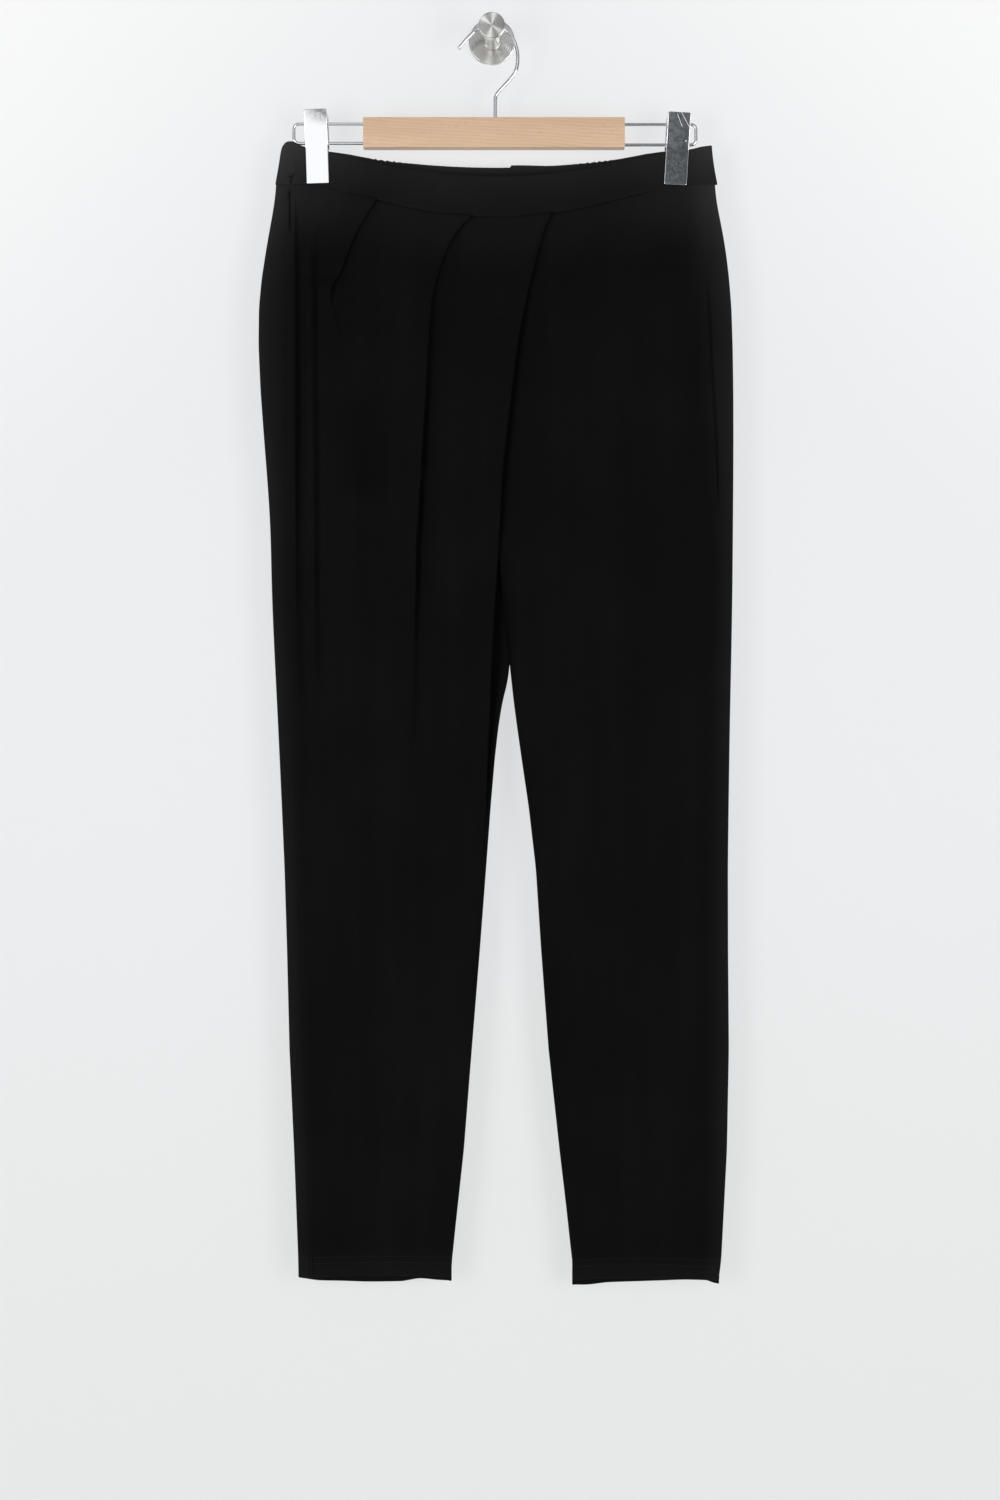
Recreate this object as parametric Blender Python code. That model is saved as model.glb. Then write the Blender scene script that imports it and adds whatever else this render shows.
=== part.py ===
"""Pull-on leggings clipped to a wooden hanger that hangs on a round wall hook.

The frame has +Z up, +Y into the wall and +X to the wearer's left. The origin is the centre of the
hook's base plate, where it meets the wall. A height is given as a drop, the distance below the origin.
The cloth hangs almost flat, so each piece of it is a wall whose outer and inner surfaces are worked out
as a half depth, measured from the plane in which the garment hangs.
"""

import math
from collections import namedtuple

import bmesh
import bpy
import numpy as np
from mathutils import Matrix, Vector

# ---- Driving dimensions, in metres ----------------------------------------------------------------

SEAM_GAP = 0.0003                # what lies between two pieces that meet
HALF_GAP = SEAM_GAP / 2
HANG_Y = -0.024                  # the plane in which hanger and garment hang
CENTRE_X = 0.0039                # the garment's centre line

# Wall hook
PLATE_RADIUS, PLATE_THICK = 0.021, 0.004
POST_RADIUS, POST_FOOT_RADIUS = 0.007, 0.0095
CAP_RADIUS, CAP_THICK = 0.0117, 0.005
REACH = 0.057                    # from the wall to the cap's face
TURNED_EDGE = 0.0008             # bevel of the plate's and the cap's rims
POST_FLARE = ((0.0015, 0.0015), (0.0025, 0.005))  # radius lost, and distance from the foot
ROUND_SIDES, POST_SIDES = 40, 32

# Hanger
BAR_SIZE = (0.2352, 0.0126, 0.027)
BAR_CENTRE = (0.0019, HANG_Y, -0.0886)
BAR_EDGE = 0.0022
HOOK_WIRE = 0.00175              # radius
HOOK_TIP = (-0.0305, -0.0130)    # X and Z
HOOK_TIP_BOW = 0.0006            # how far the wire bows up between its tip and its arc
HOOK_ARC_CENTRE_X = -0.0015
HOOK_ARC_RADIUS = 0.0274
HOOK_ARC_DEGREES = (112, -28)
HOOK_RUN_END = (0.0055, -0.0505)
STEM_X = 0.003
STEM_BEND = ((STEM_X + 0.0008, -0.0530), (STEM_X, -0.0560), (STEM_X, -0.0656))
STEM_DEPTH = 0.012               # how deep the stem goes into the bar
ROD_WIRE = 0.0015                # radius
ROD_DEPTH = 0.030                # how deep a slide rod goes into the bar
ROD_CORNER = 0.0045
HOLE_CLEARANCE = 0.0003
WIRE_SIDES = 10

# Clips
PLATE_METAL = 0.0012
JAW_HEIGHT = 0.032
LEVER_LEAN = math.radians(9)
SPRING_RADIUS, SPRING_LENGTH = 0.0032, 0.014

# Cloth
WALL, BAND_WALL, HEM_WALL = 0.0015, 0.0020, 0.0021
BAND_SWELL, HEM_SWELL = 0.0005, 0.0004           # how far the doubled cloth stands proud
DOME_POWER = 0.6                 # how square the flattened tubes are: 1 is an ellipse
SIDE_DROP = 0.1345               # where the waistband's lower edge meets the side seams
BAND_HEIGHT = 0.0312
BAND_SAG_SPAN = 0.160            # from the centre line to a clip
SAG_POWER = 1.15                 # how blunt the hanging curve is
FRONT_BAND_SAG, BACK_BAND_SAG = 0.0315, 0.0195
BAND_EXTRA_HEIGHT = 0.0055       # at the centre line
SAG_FADE = 0.125                 # below this, the cloth's rows are level again
HEM_HEIGHT = 0.0175
HEM_DIP_FROM = 1.003             # from here down, the rows follow the hem's curve
FRONT_HEM_DIP, BACK_HEM_DIP = -0.0030, 0.0040     # at mid-leg, against the side seams
CROTCH_TOP, CROTCH = 0.440, 0.505
BACK_SEAM_PARTS = (0.415, 0.480)
TUCK = 0.010                     # how far the left front goes under the right one
TUCK_EASE, TUCK_END = 0.400, 0.445
LAP_LIFT = WALL + SEAM_GAP
LAP_LIFT_NEAR, LAP_LIFT_FAR = TUCK + 0.003, TUCK + 0.055   # where the lift dies away
LAP_LIFT_LOW = TUCK_END + 0.035
BAND_LAP_SHARE = 0.5             # how much of the lap's lift the waistband takes
GRIP_FLAT, GRIP_RAMP, GRIP_FADE = 0.0145, 0.045, 0.110
GRIP_BELOW = 0.004               # how far below a clip the cloth stays pressed flat
FOLD_ROOM = (0.003, 0.007)       # half depths over which the side folds gain their full height
PLEAT_REACH = 0.045              # over which a pleat's raised edge dies away
PLEAT_LINE_IN, PLEAT_LINE_OUT = 0.0003, 0.0012

Side = namedtuple("Side", "name sign hem_drop")
RIGHT, LEFT = Side("right", -1, 1.1165), Side("left", 1, 1.1190)

Clip = namedtuple("Clip", "side x tilt_degrees top_drop bottom_drop width")
CLIPS = (
    Clip(RIGHT, -0.1578, -1.9, 0.0698, 0.1363, 0.0205),
    Clip(LEFT, 0.1674, 3.5, 0.0720, 0.1374, 0.0201),
)

Rod = namedtuple("Rod", "side end_x top_drop bottom_drop")
RODS = (Rod(RIGHT, -0.1783, 0.0799, 0.0974), Rod(LEFT, 0.1838, 0.0803, 0.0988))

BandEnd = namedtuple("BandEnd", "side rise start_x end_x")
BAND_ENDS = (BandEnd(RIGHT, 0.0066, -0.1801, -0.1835), BandEnd(LEFT, 0.0040, 0.1840, 0.1930))

# The garment's two outer edges and its half depth, at drops below the hook.
Outline = namedtuple("Outline", "drop right left depth")
OUTLINE = (
    Outline(0.096, -0.1852, 0.1977, 0.0095),
    Outline(0.106, -0.1905, 0.1980, 0.0095),
    Outline(0.134, -0.1942, 0.2008, 0.0105),
    Outline(0.150, -0.1955, 0.2022, 0.0115),
    Outline(0.166, -0.1981, 0.2052, 0.0125),
    Outline(0.184, -0.2012, 0.2085, 0.0140),
    Outline(0.238, -0.2088, 0.2147, 0.0165),
    Outline(0.290, -0.2094, 0.2165, 0.0180),
    Outline(0.350, -0.2056, 0.2170, 0.0185),
    Outline(0.436, -0.1994, 0.2166, 0.0180),
    Outline(0.508, -0.1973, 0.2159, 0.0165),
    Outline(0.643, -0.1910, 0.2134, 0.0145),
    Outline(0.778, -0.1852, 0.2119, 0.0125),
    Outline(0.913, -0.1818, 0.2129, 0.0115),
    Outline(1.003, -0.1777, 0.2112, 0.0110),
    Outline(1.093, -0.1742, 0.2071, 0.0105),
    Outline(1.125, -0.1735, 0.2030, 0.0105),
)

# The legs' inner edges, from where they part.
Inseam = namedtuple("Inseam", "drop right left")
INSEAM = (
    Inseam(0.445, 0.0067, 0.0073),
    Inseam(0.480, 0.0070, 0.0076),
    Inseam(0.508, 0.0103, 0.0109),
    Inseam(0.540, 0.0141, 0.0147),
    Inseam(0.567, 0.0157, 0.0164),
    Inseam(0.582, 0.0138, 0.0180),
    Inseam(0.600, 0.0092, 0.0200),
    Inseam(0.643, 0.0032, 0.0259),
    Inseam(0.733, -0.0042, 0.0383),
    Inseam(0.823, -0.0111, 0.0446),
    Inseam(0.913, -0.0184, 0.0513),
    Inseam(1.003, -0.0255, 0.0611),
    Inseam(1.093, -0.0355, 0.0725),
    Inseam(1.125, -0.0375, 0.0725),
)

# A knife pleat's folded edge, as points down the right front, with its height and where it dies away.
Pleat = namedtuple("Pleat", "name height fade_from fade_to line")
PleatPoint = namedtuple("PleatPoint", "drop x")
SIDE_PLEAT = Pleat("side", 0.0024, 0.205, 0.255, (
    PleatPoint(0.134, -0.0930), PleatPoint(0.158, -0.1080), PleatPoint(0.186, -0.1240),
    PleatPoint(0.219, -0.1367), PleatPoint(0.300, -0.1440), PleatPoint(0.508, -0.1400),
    PleatPoint(0.823, -0.1320), PleatPoint(1.125, -0.1310),
))
MIDDLE_PLEAT = Pleat("middle", 0.0026, 0.380, 0.600, (
    PleatPoint(0.134, -0.0020), PleatPoint(0.165, -0.0179), PleatPoint(0.184, -0.0340),
    PleatPoint(0.221, -0.0485), PleatPoint(0.293, -0.0566), PleatPoint(0.376, -0.0620),
    PleatPoint(0.492, -0.0676), PleatPoint(0.700, -0.0740), PleatPoint(1.125, -0.0930),
))
FRONT_LAP = (
    PleatPoint(0.134, 0.0680), PleatPoint(0.161, 0.0546), PleatPoint(0.180, 0.0460),
    PleatPoint(0.210, 0.0379), PleatPoint(0.237, 0.0316), PleatPoint(0.283, 0.0230),
    PleatPoint(0.323, 0.0181), PleatPoint(0.359, 0.0136), PleatPoint(0.392, 0.0100),
    PleatPoint(0.420, 0.0080), PleatPoint(0.445, 0.0067),
)

# Soft upright folds beside the right side seam: negative lifts are troughs.
SideFold = namedtuple("SideFold", "x lift half_width fade_in_from fade_in_to fade_from fade_to")
SIDE_FOLDS = (
    SideFold(-0.1745, -0.0022, 0.0055, 0.160, 0.200, 0.480, 0.700),
    SideFold(-0.1650, 0.0014, 0.0045, 0.170, 0.220, 0.480, 0.680),
    SideFold(-0.1580, -0.0012, 0.0045, 0.190, 0.240, 0.500, 0.640),
)

# Drops of the panels' rows at the side seams: closer where the shape turns.
PANEL_DROPS = (
    0.1345, 0.146, 0.160, 0.178, 0.198, 0.220, 0.246, 0.280, 0.320, 0.360, 0.400, 0.424, 0.445,
    0.460, 0.475, 0.490, 0.505, 0.522, 0.545, 0.567, 0.582, 0.600, 0.621, 0.650, 0.695, 0.750,
    0.823, 0.913, 1.003,
)

Finish = namedtuple("Finish", "colour roughness metallic")
FINISHES = {
    "jersey": Finish((0.008, 0.008, 0.009), 0.85, 0.0),
    "beech": Finish((0.60, 0.40, 0.25), 0.45, 0.0),
    "chrome": Finish((0.80, 0.81, 0.83), 0.15, 1.0),
    "steel": Finish((0.55, 0.55, 0.56), 0.30, 1.0),
}


# ---- Curves and steps -----------------------------------------------------------------------------

def smooth_curve(stations, values):
    """Return a smooth function that passes through each value at its station."""
    at = np.array(stations)
    height = np.array(values)
    slope = np.gradient(height, at)

    def value(x):
        x = min(max(x, at[0]), at[-1])
        i = int(min(max(np.searchsorted(at, x) - 1, 0), len(at) - 2))
        span = at[i + 1] - at[i]
        t = (x - at[i]) / span
        ends = (1 + 2 * t) * (1 - t) ** 2 * height[i] + t * t * (3 - 2 * t) * height[i + 1]
        turns = t * (1 - t) ** 2 * slope[i] - t * t * (1 - t) * slope[i + 1]
        return float(ends + turns * span)

    return value


def smooth_step(x, low, high):
    """Rise from 0 at low to 1 at high, level at both ends."""
    t = min(max((x - low) / (high - low), 0.0), 1.0)
    return t * t * (3 - 2 * t)


def mix(a, b, t):
    return a + (b - a) * t


def column_curve(rows, column):
    return smooth_curve([row.drop for row in rows], [getattr(row, column) for row in rows])


outer_edge = {side: column_curve(OUTLINE, side.name) for side in (RIGHT, LEFT)}
inner_edge = {side: column_curve(INSEAM, side.name) for side in (RIGHT, LEFT)}
tube_depth = column_curve(OUTLINE, "depth")
lap_line = column_curve(FRONT_LAP, "x")
pleat_line = {pleat.name: column_curve(pleat.line, "x") for pleat in (SIDE_PLEAT, MIDDLE_PLEAT)}


# ---- The garment's form ---------------------------------------------------------------------------

def dome(x, start, end):
    """Height, from 0 at the ends to 1 in the middle, of a flattened tube's section."""
    u = (x - start) / (end - start)
    return (4 * max(u * (1 - u), 0.0)) ** (DOME_POWER / 2)


def clip_grip(x, drop):
    """1 where a clip presses front and back together, 0 away from it."""
    held = 0.0
    for clip in CLIPS:
        near = 1 - smooth_step(abs(x - clip.x), GRIP_FLAT, GRIP_FLAT + GRIP_RAMP)
        low = clip.bottom_drop + GRIP_BELOW
        held = max(held, near * (1 - smooth_step(drop, low, low + GRIP_FADE)))
    return held


def base_depth(x, drop, side):
    """Half depth of the smooth garment, before its folds."""
    body = dome(x, outer_edge[RIGHT](drop), outer_edge[LEFT](drop))
    leg = dome(x, outer_edge[side](drop), inner_edge[side](drop))
    parted = smooth_step(drop, CROTCH_TOP, CROTCH)
    return tube_depth(drop) * mix(body, leg, parted) * (1 - clip_grip(x, drop))


def lap_lift(x, drop):
    """How far the right front stands off the left one that it covers."""
    away = lap_line(drop) - x
    near = 1 - smooth_step(away, LAP_LIFT_NEAR, LAP_LIFT_FAR)
    return LAP_LIFT * near * (1 - smooth_step(drop, TUCK_END, LAP_LIFT_LOW))


def side_fold_lift(x, drop):
    total = 0.0
    for fold in SIDE_FOLDS:
        shown = smooth_step(drop, fold.fade_in_from, fold.fade_in_to)
        shown *= 1 - smooth_step(drop, fold.fade_from, fold.fade_to)
        total += fold.lift * shown * math.exp(-(((x - fold.x) / fold.half_width) ** 2))
    return total


def pleat_height(x, drop):
    """Extra layers of cloth on the outer side of each pleat's folded edge."""
    total = 0.0
    for pleat in (SIDE_PLEAT, MIDDLE_PLEAT):
        away = pleat_line[pleat.name](drop) - x
        if away >= 0:
            near = 1 - smooth_step(away, 0.0, PLEAT_REACH)
            total += pleat.height * near * (1 - smooth_step(drop, pleat.fade_from, pleat.fade_to))
    return total


def wall_depths(x, drop, side, is_front, wall, swell):
    """Return a wall's outer and inner half depths, front or back, at a place on the garment."""
    step = 0.0005
    depth = base_depth(x, drop, side)
    slope = (base_depth(x + step, drop, side) - base_depth(x - step, drop, side)) / (2 * step)
    outer = max(depth + swell, wall + HALF_GAP)
    inner = max(outer - wall * math.sqrt(1 + slope * slope), HALF_GAP)
    if is_front and side is RIGHT:
        folds = lap_lift(x, drop) + side_fold_lift(x, drop) * smooth_step(depth, *FOLD_ROOM)
        outer = max(outer + folds, wall + HALF_GAP)
        inner = max(inner + folds, HALF_GAP)
        outer += pleat_height(x, drop)
    return outer, inner


def hanging_sag(x, sag):
    """How much lower than at the clips the waist hangs at x."""
    t = min(abs(x - CENTRE_X) / BAND_SAG_SPAN, 1.0)
    return sag * (1 - t * t) ** SAG_POWER


def row_drop(x, side_drop, sag):
    """Drop at x of the row that meets the side seams at side_drop."""
    return side_drop + hanging_sag(x, sag) * (1 - smooth_step(side_drop, SIDE_DROP, SIDE_DROP + SAG_FADE))


def hem_curve(x, side_drop, side, dip):
    """How much lower than at the seams a row near the hem hangs at x."""
    start, end = outer_edge[side](side_drop), inner_edge[side](side_drop)
    u = min(max((x - start) / (end - start), 0.0), 1.0)
    return dip * math.sin(math.pi * u) * smooth_step(side_drop, HEM_DIP_FROM, side.hem_drop - HEM_HEIGHT)


def band_end_rise(x):
    """How far the waistband's ends stand up outside the clips."""
    return sum(end.rise * smooth_step(x * end.side.sign, end.start_x * end.side.sign,
                                      end.end_x * end.side.sign) for end in BAND_ENDS)


# ---- Where the columns of each piece lie ----------------------------------------------------------

EDGE_STEPS = (0.0, 0.0010, 0.0040, 0.0100)       # from a seam inwards, where the tube turns
PLAIN_STEP = 0.022
FOLDED_STEP = 0.016
LAP_STEPS = (0.016, 0.0075, 0.0025, 0.0)          # towards the lapped edge
BAND_STEPS = (0.0, 0.002, 0.006, 0.012)

# The side folds' columns keep their place until the outer edge comes this near.
FoldColumn = namedtuple("FoldColumn", "x clear_of_edge")
FOLD_COLUMNS = (
    FoldColumn(-0.1745, 0.0200), FoldColumn(-0.1700, 0.0240), FoldColumn(-0.1650, 0.0280),
    FoldColumn(-0.1580, 0.0340),
)


def spread(start, end, count):
    """Return count places between start and end, without either."""
    return [mix(start, end, (i + 1) / (count + 1)) for i in range(count)]


def front_right_columns(drop):
    outer = outer_edge[RIGHT](drop)
    inner = lap_line(drop) if drop < TUCK_END else inner_edge[RIGHT](drop)
    side_pleat = pleat_line["side"](drop)
    middle_pleat = pleat_line["middle"](drop)
    columns = [outer + step for step in EDGE_STEPS]
    columns += [outer + FOLDED_STEP]
    columns += [max(fold.x, outer + fold.clear_of_edge) for fold in FOLD_COLUMNS]
    columns += spread(columns[-1], side_pleat, 2)
    columns += [side_pleat - PLEAT_LINE_IN, side_pleat + PLEAT_LINE_OUT]
    columns += spread(side_pleat, middle_pleat, 3)
    columns += [middle_pleat - PLEAT_LINE_IN, middle_pleat + PLEAT_LINE_OUT]
    columns += spread(middle_pleat, inner - LAP_STEPS[0], 2)
    columns += [inner - step for step in LAP_STEPS]
    return columns


def plain_columns(outer, inner, sign, between):
    """Columns from an outer edge to an inner one, close together at both."""
    near, far = outer - sign * PLAIN_STEP, inner + sign * PLAIN_STEP
    columns = [outer - sign * step for step in EDGE_STEPS] + [near]
    columns += spread(near, far, between)
    columns += [far] + [inner + sign * step for step in reversed(EDGE_STEPS)]
    return columns


def front_left_columns(drop):
    tucked = lap_line(drop) - TUCK
    inner = mix(tucked, inner_edge[LEFT](drop), smooth_step(drop, TUCK_EASE, TUCK_END))
    return plain_columns(outer_edge[LEFT](drop), inner, LEFT.sign, 7)


def back_columns(side):
    def columns(drop):
        seam = CENTRE_X + side.sign * HALF_GAP
        inner = mix(seam, inner_edge[side](drop), smooth_step(drop, *BACK_SEAM_PARTS))
        return plain_columns(outer_edge[side](drop), inner, side.sign, 5)

    return columns


def band_columns(drop):
    """Columns right round from one side seam to the other, with each clip's flat stretch kept."""
    right, left = CLIPS
    low, high = outer_edge[RIGHT](drop), outer_edge[LEFT](drop)
    columns = [low + step for step in BAND_STEPS]
    columns += [right.x - GRIP_FLAT, right.x, right.x + GRIP_FLAT]
    columns += spread(right.x + GRIP_FLAT, left.x - GRIP_FLAT, 13)
    columns += [left.x - GRIP_FLAT, left.x, left.x + GRIP_FLAT]
    columns += [high - step for step in reversed(BAND_STEPS)]
    return columns


# ---- Making the pieces ----------------------------------------------------------------------------

def material(name):
    finish = FINISHES[name]
    made = bpy.data.materials.get(name) or bpy.data.materials.new(name)
    made.use_nodes = True
    shader = made.node_tree.nodes["Principled BSDF"]
    shader.inputs["Base Color"].default_value = (*finish.colour, 1.0)
    shader.inputs["Roughness"].default_value = finish.roughness
    shader.inputs["Metallic"].default_value = finish.metallic
    return made


def add_object(name, data, finish):
    obj = bpy.data.objects.new(name, data)
    data.materials.append(material(finish))
    bpy.context.scene.collection.objects.link(obj)
    return obj


def finish_mesh(bm, name, finish, sharp_degrees=40):
    """Turn the faces outwards, shade the piece smooth and put it in the scene."""
    bmesh.ops.recalc_face_normals(bm, faces=bm.faces)
    if bm.calc_volume(signed=True) < 0:
        bmesh.ops.reverse_faces(bm, faces=bm.faces)
    mesh = bpy.data.meshes.new(name)
    bm.to_mesh(mesh)
    bm.free()
    mesh.shade_smooth()
    mesh.set_sharp_from_angle(angle=math.radians(sharp_degrees))
    return add_object(name, mesh, finish)


def cloth_wall(name, row_count, column_count, place):
    """Make a wall of cloth: a sheet on the outer surface, extruded to the inner one.

    place(row, column) returns the outer and the inner point.
    """
    bm = bmesh.new()
    number = bm.verts.layers.int.new("number")
    bmesh.ops.create_grid(bm, x_segments=column_count - 1, y_segments=row_count - 1, size=0.5)
    for vertex in bm.verts:
        column = round((vertex.co.x + 0.5) * (column_count - 1))
        row = round((vertex.co.y + 0.5) * (row_count - 1))
        vertex[number] = row * column_count + column
    points = [place(*divmod(i, column_count)) for i in range(row_count * column_count)]
    wall = bmesh.ops.extrude_face_region(bm, geom=bm.faces[:])
    inner = {item for item in wall["geom"] if isinstance(item, bmesh.types.BMVert)}
    for vertex in bm.verts:
        vertex.co = points[vertex[number]][1 if vertex in inner else 0]
    return finish_mesh(bm, name, "jersey", 60)


def panel(name, side, is_front, columns_at, side_drops, wall=WALL, swell=0.0):
    """Make a panel whose rows meet the side seams at side_drops."""
    facing = -1 if is_front else 1
    sag = FRONT_BAND_SAG if is_front else BACK_BAND_SAG
    dip = FRONT_HEM_DIP if is_front else BACK_HEM_DIP
    column_count = len(columns_at(side_drops[0]))
    last = len(side_drops) - 1

    def place(row, column):
        side_drop = side_drops[row]
        drop = side_drop
        for _ in range(3):
            x = columns_at(drop)[column]
            drop = row_drop(x, side_drop, sag) + hem_curve(x, side_drop, side, dip)
        drop += HALF_GAP if row == 0 else 0
        drop -= HALF_GAP if row == last else 0
        outer, inner = wall_depths(x, drop, side, is_front, wall, swell)
        return (Vector((x, HANG_Y + facing * outer, -drop)), Vector((x, HANG_Y + facing * inner, -drop)))

    return cloth_wall(name, len(side_drops), column_count, place)


def waistband(name, is_front, sag):
    """Make one waistband, from side seam to side seam, hanging in a curve between the clips."""
    facing = -1 if is_front else 1
    heights = (0.0, 0.5, 1.0)
    column_count = len(band_columns(SIDE_DROP))

    def place(row, column):
        drop = SIDE_DROP
        for _ in range(4):
            x = band_columns(drop)[column]
            low = row_drop(x, SIDE_DROP, sag) - HALF_GAP
            high = low - BAND_HEIGHT - band_end_rise(x) - hanging_sag(x, BAND_EXTRA_HEIGHT)
            drop = mix(high, low, heights[row])
        side = RIGHT if x < CENTRE_X else LEFT
        outer, inner = wall_depths(x, drop, side, is_front, BAND_WALL, BAND_SWELL)
        if is_front and x < lap_line(drop):
            outer += lap_lift(x, drop) * BAND_LAP_SHARE
        return (Vector((x, HANG_Y + facing * outer, -drop)), Vector((x, HANG_Y + facing * inner, -drop)))

    return cloth_wall(name, len(heights), column_count, place)


def build_garment():
    waistband("front_waistband", True, FRONT_BAND_SAG)
    waistband("back_waistband", False, BACK_BAND_SAG)
    pieces = (
        ("front_right", RIGHT, True, front_right_columns),
        ("front_left", LEFT, True, front_left_columns),
        ("back_right", RIGHT, False, back_columns(RIGHT)),
        ("back_left", LEFT, False, back_columns(LEFT)),
    )
    for name, side, is_front, columns_at in pieces:
        hem_top = side.hem_drop - HEM_HEIGHT
        panel(name + "_panel", side, is_front, columns_at, PANEL_DROPS + (hem_top,))
        panel(name + "_hem", side, is_front, columns_at, (hem_top, side.hem_drop), HEM_WALL, HEM_SWELL)


def turned(name, profile, finish, sides=ROUND_SIDES):
    """Turn a profile of (radius, distance from the wall) points about the hook's axis."""
    bm = bmesh.new()
    points = [Vector((radius, -reach, 0)) for radius, reach in profile]
    vertices = [bm.verts.new(point) for point in points]
    edges = [bm.edges.new(pair) for pair in zip(vertices, vertices[1:])]
    bmesh.ops.spin(bm, geom=vertices + edges, cent=(0, 0, 0), axis=(0, 1, 0), angle=2 * math.pi,
                   steps=sides, use_merge=True)
    bmesh.ops.remove_doubles(bm, verts=bm.verts, dist=0.00001)
    return finish_mesh(bm, name, finish, 30)


def build_wall_hook():
    edge = TURNED_EDGE
    turned("wall_plate", (
        (0, 0), (PLATE_RADIUS, 0), (PLATE_RADIUS, PLATE_THICK - edge), (PLATE_RADIUS - edge, PLATE_THICK),
        (0, PLATE_THICK),
    ), "steel")
    foot = PLATE_THICK + SEAM_GAP
    head = REACH - CAP_THICK - SEAM_GAP
    flare = [(POST_FOOT_RADIUS - lost, foot + along) for lost, along in POST_FLARE]
    turned("wall_post", [(0, foot), (POST_FOOT_RADIUS, foot)] + flare + [(POST_RADIUS, head), (0, head)],
           "steel", POST_SIDES)
    back = REACH - CAP_THICK
    turned("wall_cap", (
        (0, back), (CAP_RADIUS - edge, back), (CAP_RADIUS, back + edge), (CAP_RADIUS, REACH - edge),
        (CAP_RADIUS - edge, REACH), (0, REACH),
    ), "steel")


def arc(centre, radius, start_degrees, end_degrees, steps):
    """Return points, in X and Z, along an arc."""
    angles = [math.radians(mix(start_degrees, end_degrees, i / steps)) for i in range(steps + 1)]
    return [(centre[0] + radius * math.cos(a), centre[1] + radius * math.sin(a)) for a in angles]


def wire(name, points, radius, finish):
    """Make a round wire along points given in X and Z, in the hanging plane."""
    curve = bpy.data.curves.new(name, "CURVE")
    curve.dimensions = "3D"
    curve.bevel_depth = radius
    curve.bevel_resolution = (WIRE_SIDES - 4) // 2
    curve.use_fill_caps = True
    spline = curve.splines.new("POLY")
    spline.points.add(len(points) - 1)
    for point, (x, z) in zip(spline.points, points):
        point.co = (x, HANG_Y, z, 1)
    return add_object(name, curve, finish)


def drilled_bar():
    """Make the wooden bar, with blind holes for the two slide rods and the hook's stem."""
    bm = bmesh.new()
    bmesh.ops.create_cube(bm, size=1.0)
    bmesh.ops.scale(bm, vec=BAR_SIZE, verts=bm.verts)
    bmesh.ops.bevel(bm, geom=bm.edges[:], offset=BAR_EDGE, segments=2, profile=0.5, affect="EDGES")
    bmesh.ops.translate(bm, vec=BAR_CENTRE, verts=bm.verts)
    bar = finish_mesh(bm, "hanger_bar", "beech", 30)
    holes = []
    for rod in RODS:
        face_x = BAR_CENTRE[0] + rod.side.sign * BAR_SIZE[0] / 2
        for drop in (rod.top_drop, rod.bottom_drop):
            holes.append(((face_x, HANG_Y, -drop), ROD_WIRE + HOLE_CLEARANCE, ROD_DEPTH, "Y"))
    bar_top = BAR_CENTRE[2] + BAR_SIZE[2] / 2
    holes.append(((STEM_X, HANG_Y, bar_top), HOOK_WIRE + HOLE_CLEARANCE, STEM_DEPTH, "X"))
    for centre, radius, depth, turn in holes:
        cut_hole(bar, centre, radius, depth + SEAM_GAP, turn)
    return bar


def cut_hole(target, centre, radius, depth, turn):
    """Cut a round blind hole, depth deep at each side of centre, along X (turn Y) or Z."""
    bm = bmesh.new()
    bmesh.ops.create_cone(bm, cap_ends=True, segments=12, radius1=radius, radius2=radius, depth=2 * depth)
    if turn == "Y":
        bmesh.ops.rotate(bm, verts=bm.verts, matrix=Matrix.Rotation(math.radians(90), 3, "Y"))
    bmesh.ops.translate(bm, vec=centre, verts=bm.verts)
    cutter = finish_mesh(bm, "hole_cutter", "beech")
    cutter.hide_render = True
    cutter.display_type = "WIRE"
    cut = target.modifiers.new("hole", "BOOLEAN")
    cut.object = cutter
    cut.operation = "DIFFERENCE"


def build_hook():
    """Make the hanger's wire hook: tip, straight run, arc over the post, and stem."""
    arc_z = POST_RADIUS + SEAM_GAP + HOOK_WIRE - HOOK_ARC_RADIUS
    over = arc((HOOK_ARC_CENTRE_X, arc_z), HOOK_ARC_RADIUS, *HOOK_ARC_DEGREES, 18)
    start, end = over[0], over[-1]
    points = [HOOK_TIP]
    points += [(mix(HOOK_TIP[0], start[0], 0.5), mix(HOOK_TIP[1], start[1], 0.5) + HOOK_TIP_BOW)]
    points += over
    points += [(mix(end[0], HOOK_RUN_END[0], t), mix(end[1], HOOK_RUN_END[1], t)) for t in (0.5, 0.93, 1.0)]
    points += STEM_BEND
    points += [(STEM_X, BAR_CENTRE[2] + BAR_SIZE[2] / 2 - STEM_DEPTH)]
    return wire("hanger_hook", points, HOOK_WIRE, "chrome")


def build_rods():
    for rod in RODS:
        sign = rod.side.sign
        inside_x = BAR_CENTRE[0] + sign * (BAR_SIZE[0] / 2 - ROD_DEPTH)
        corner_x = rod.end_x - sign * ROD_CORNER
        high = arc((0, -rod.top_drop - ROD_CORNER), ROD_CORNER, 90, 0, 4)
        low = arc((0, -rod.bottom_drop + ROD_CORNER), ROD_CORNER, 0, -90, 4)
        points = [(inside_x, -rod.top_drop)]
        points += [(corner_x + sign * x, z) for x, z in high + low]
        points += [(inside_x, -rod.bottom_drop)]
        wire("slide_rod_" + rod.side.name, points, ROD_WIRE, "chrome")


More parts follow.
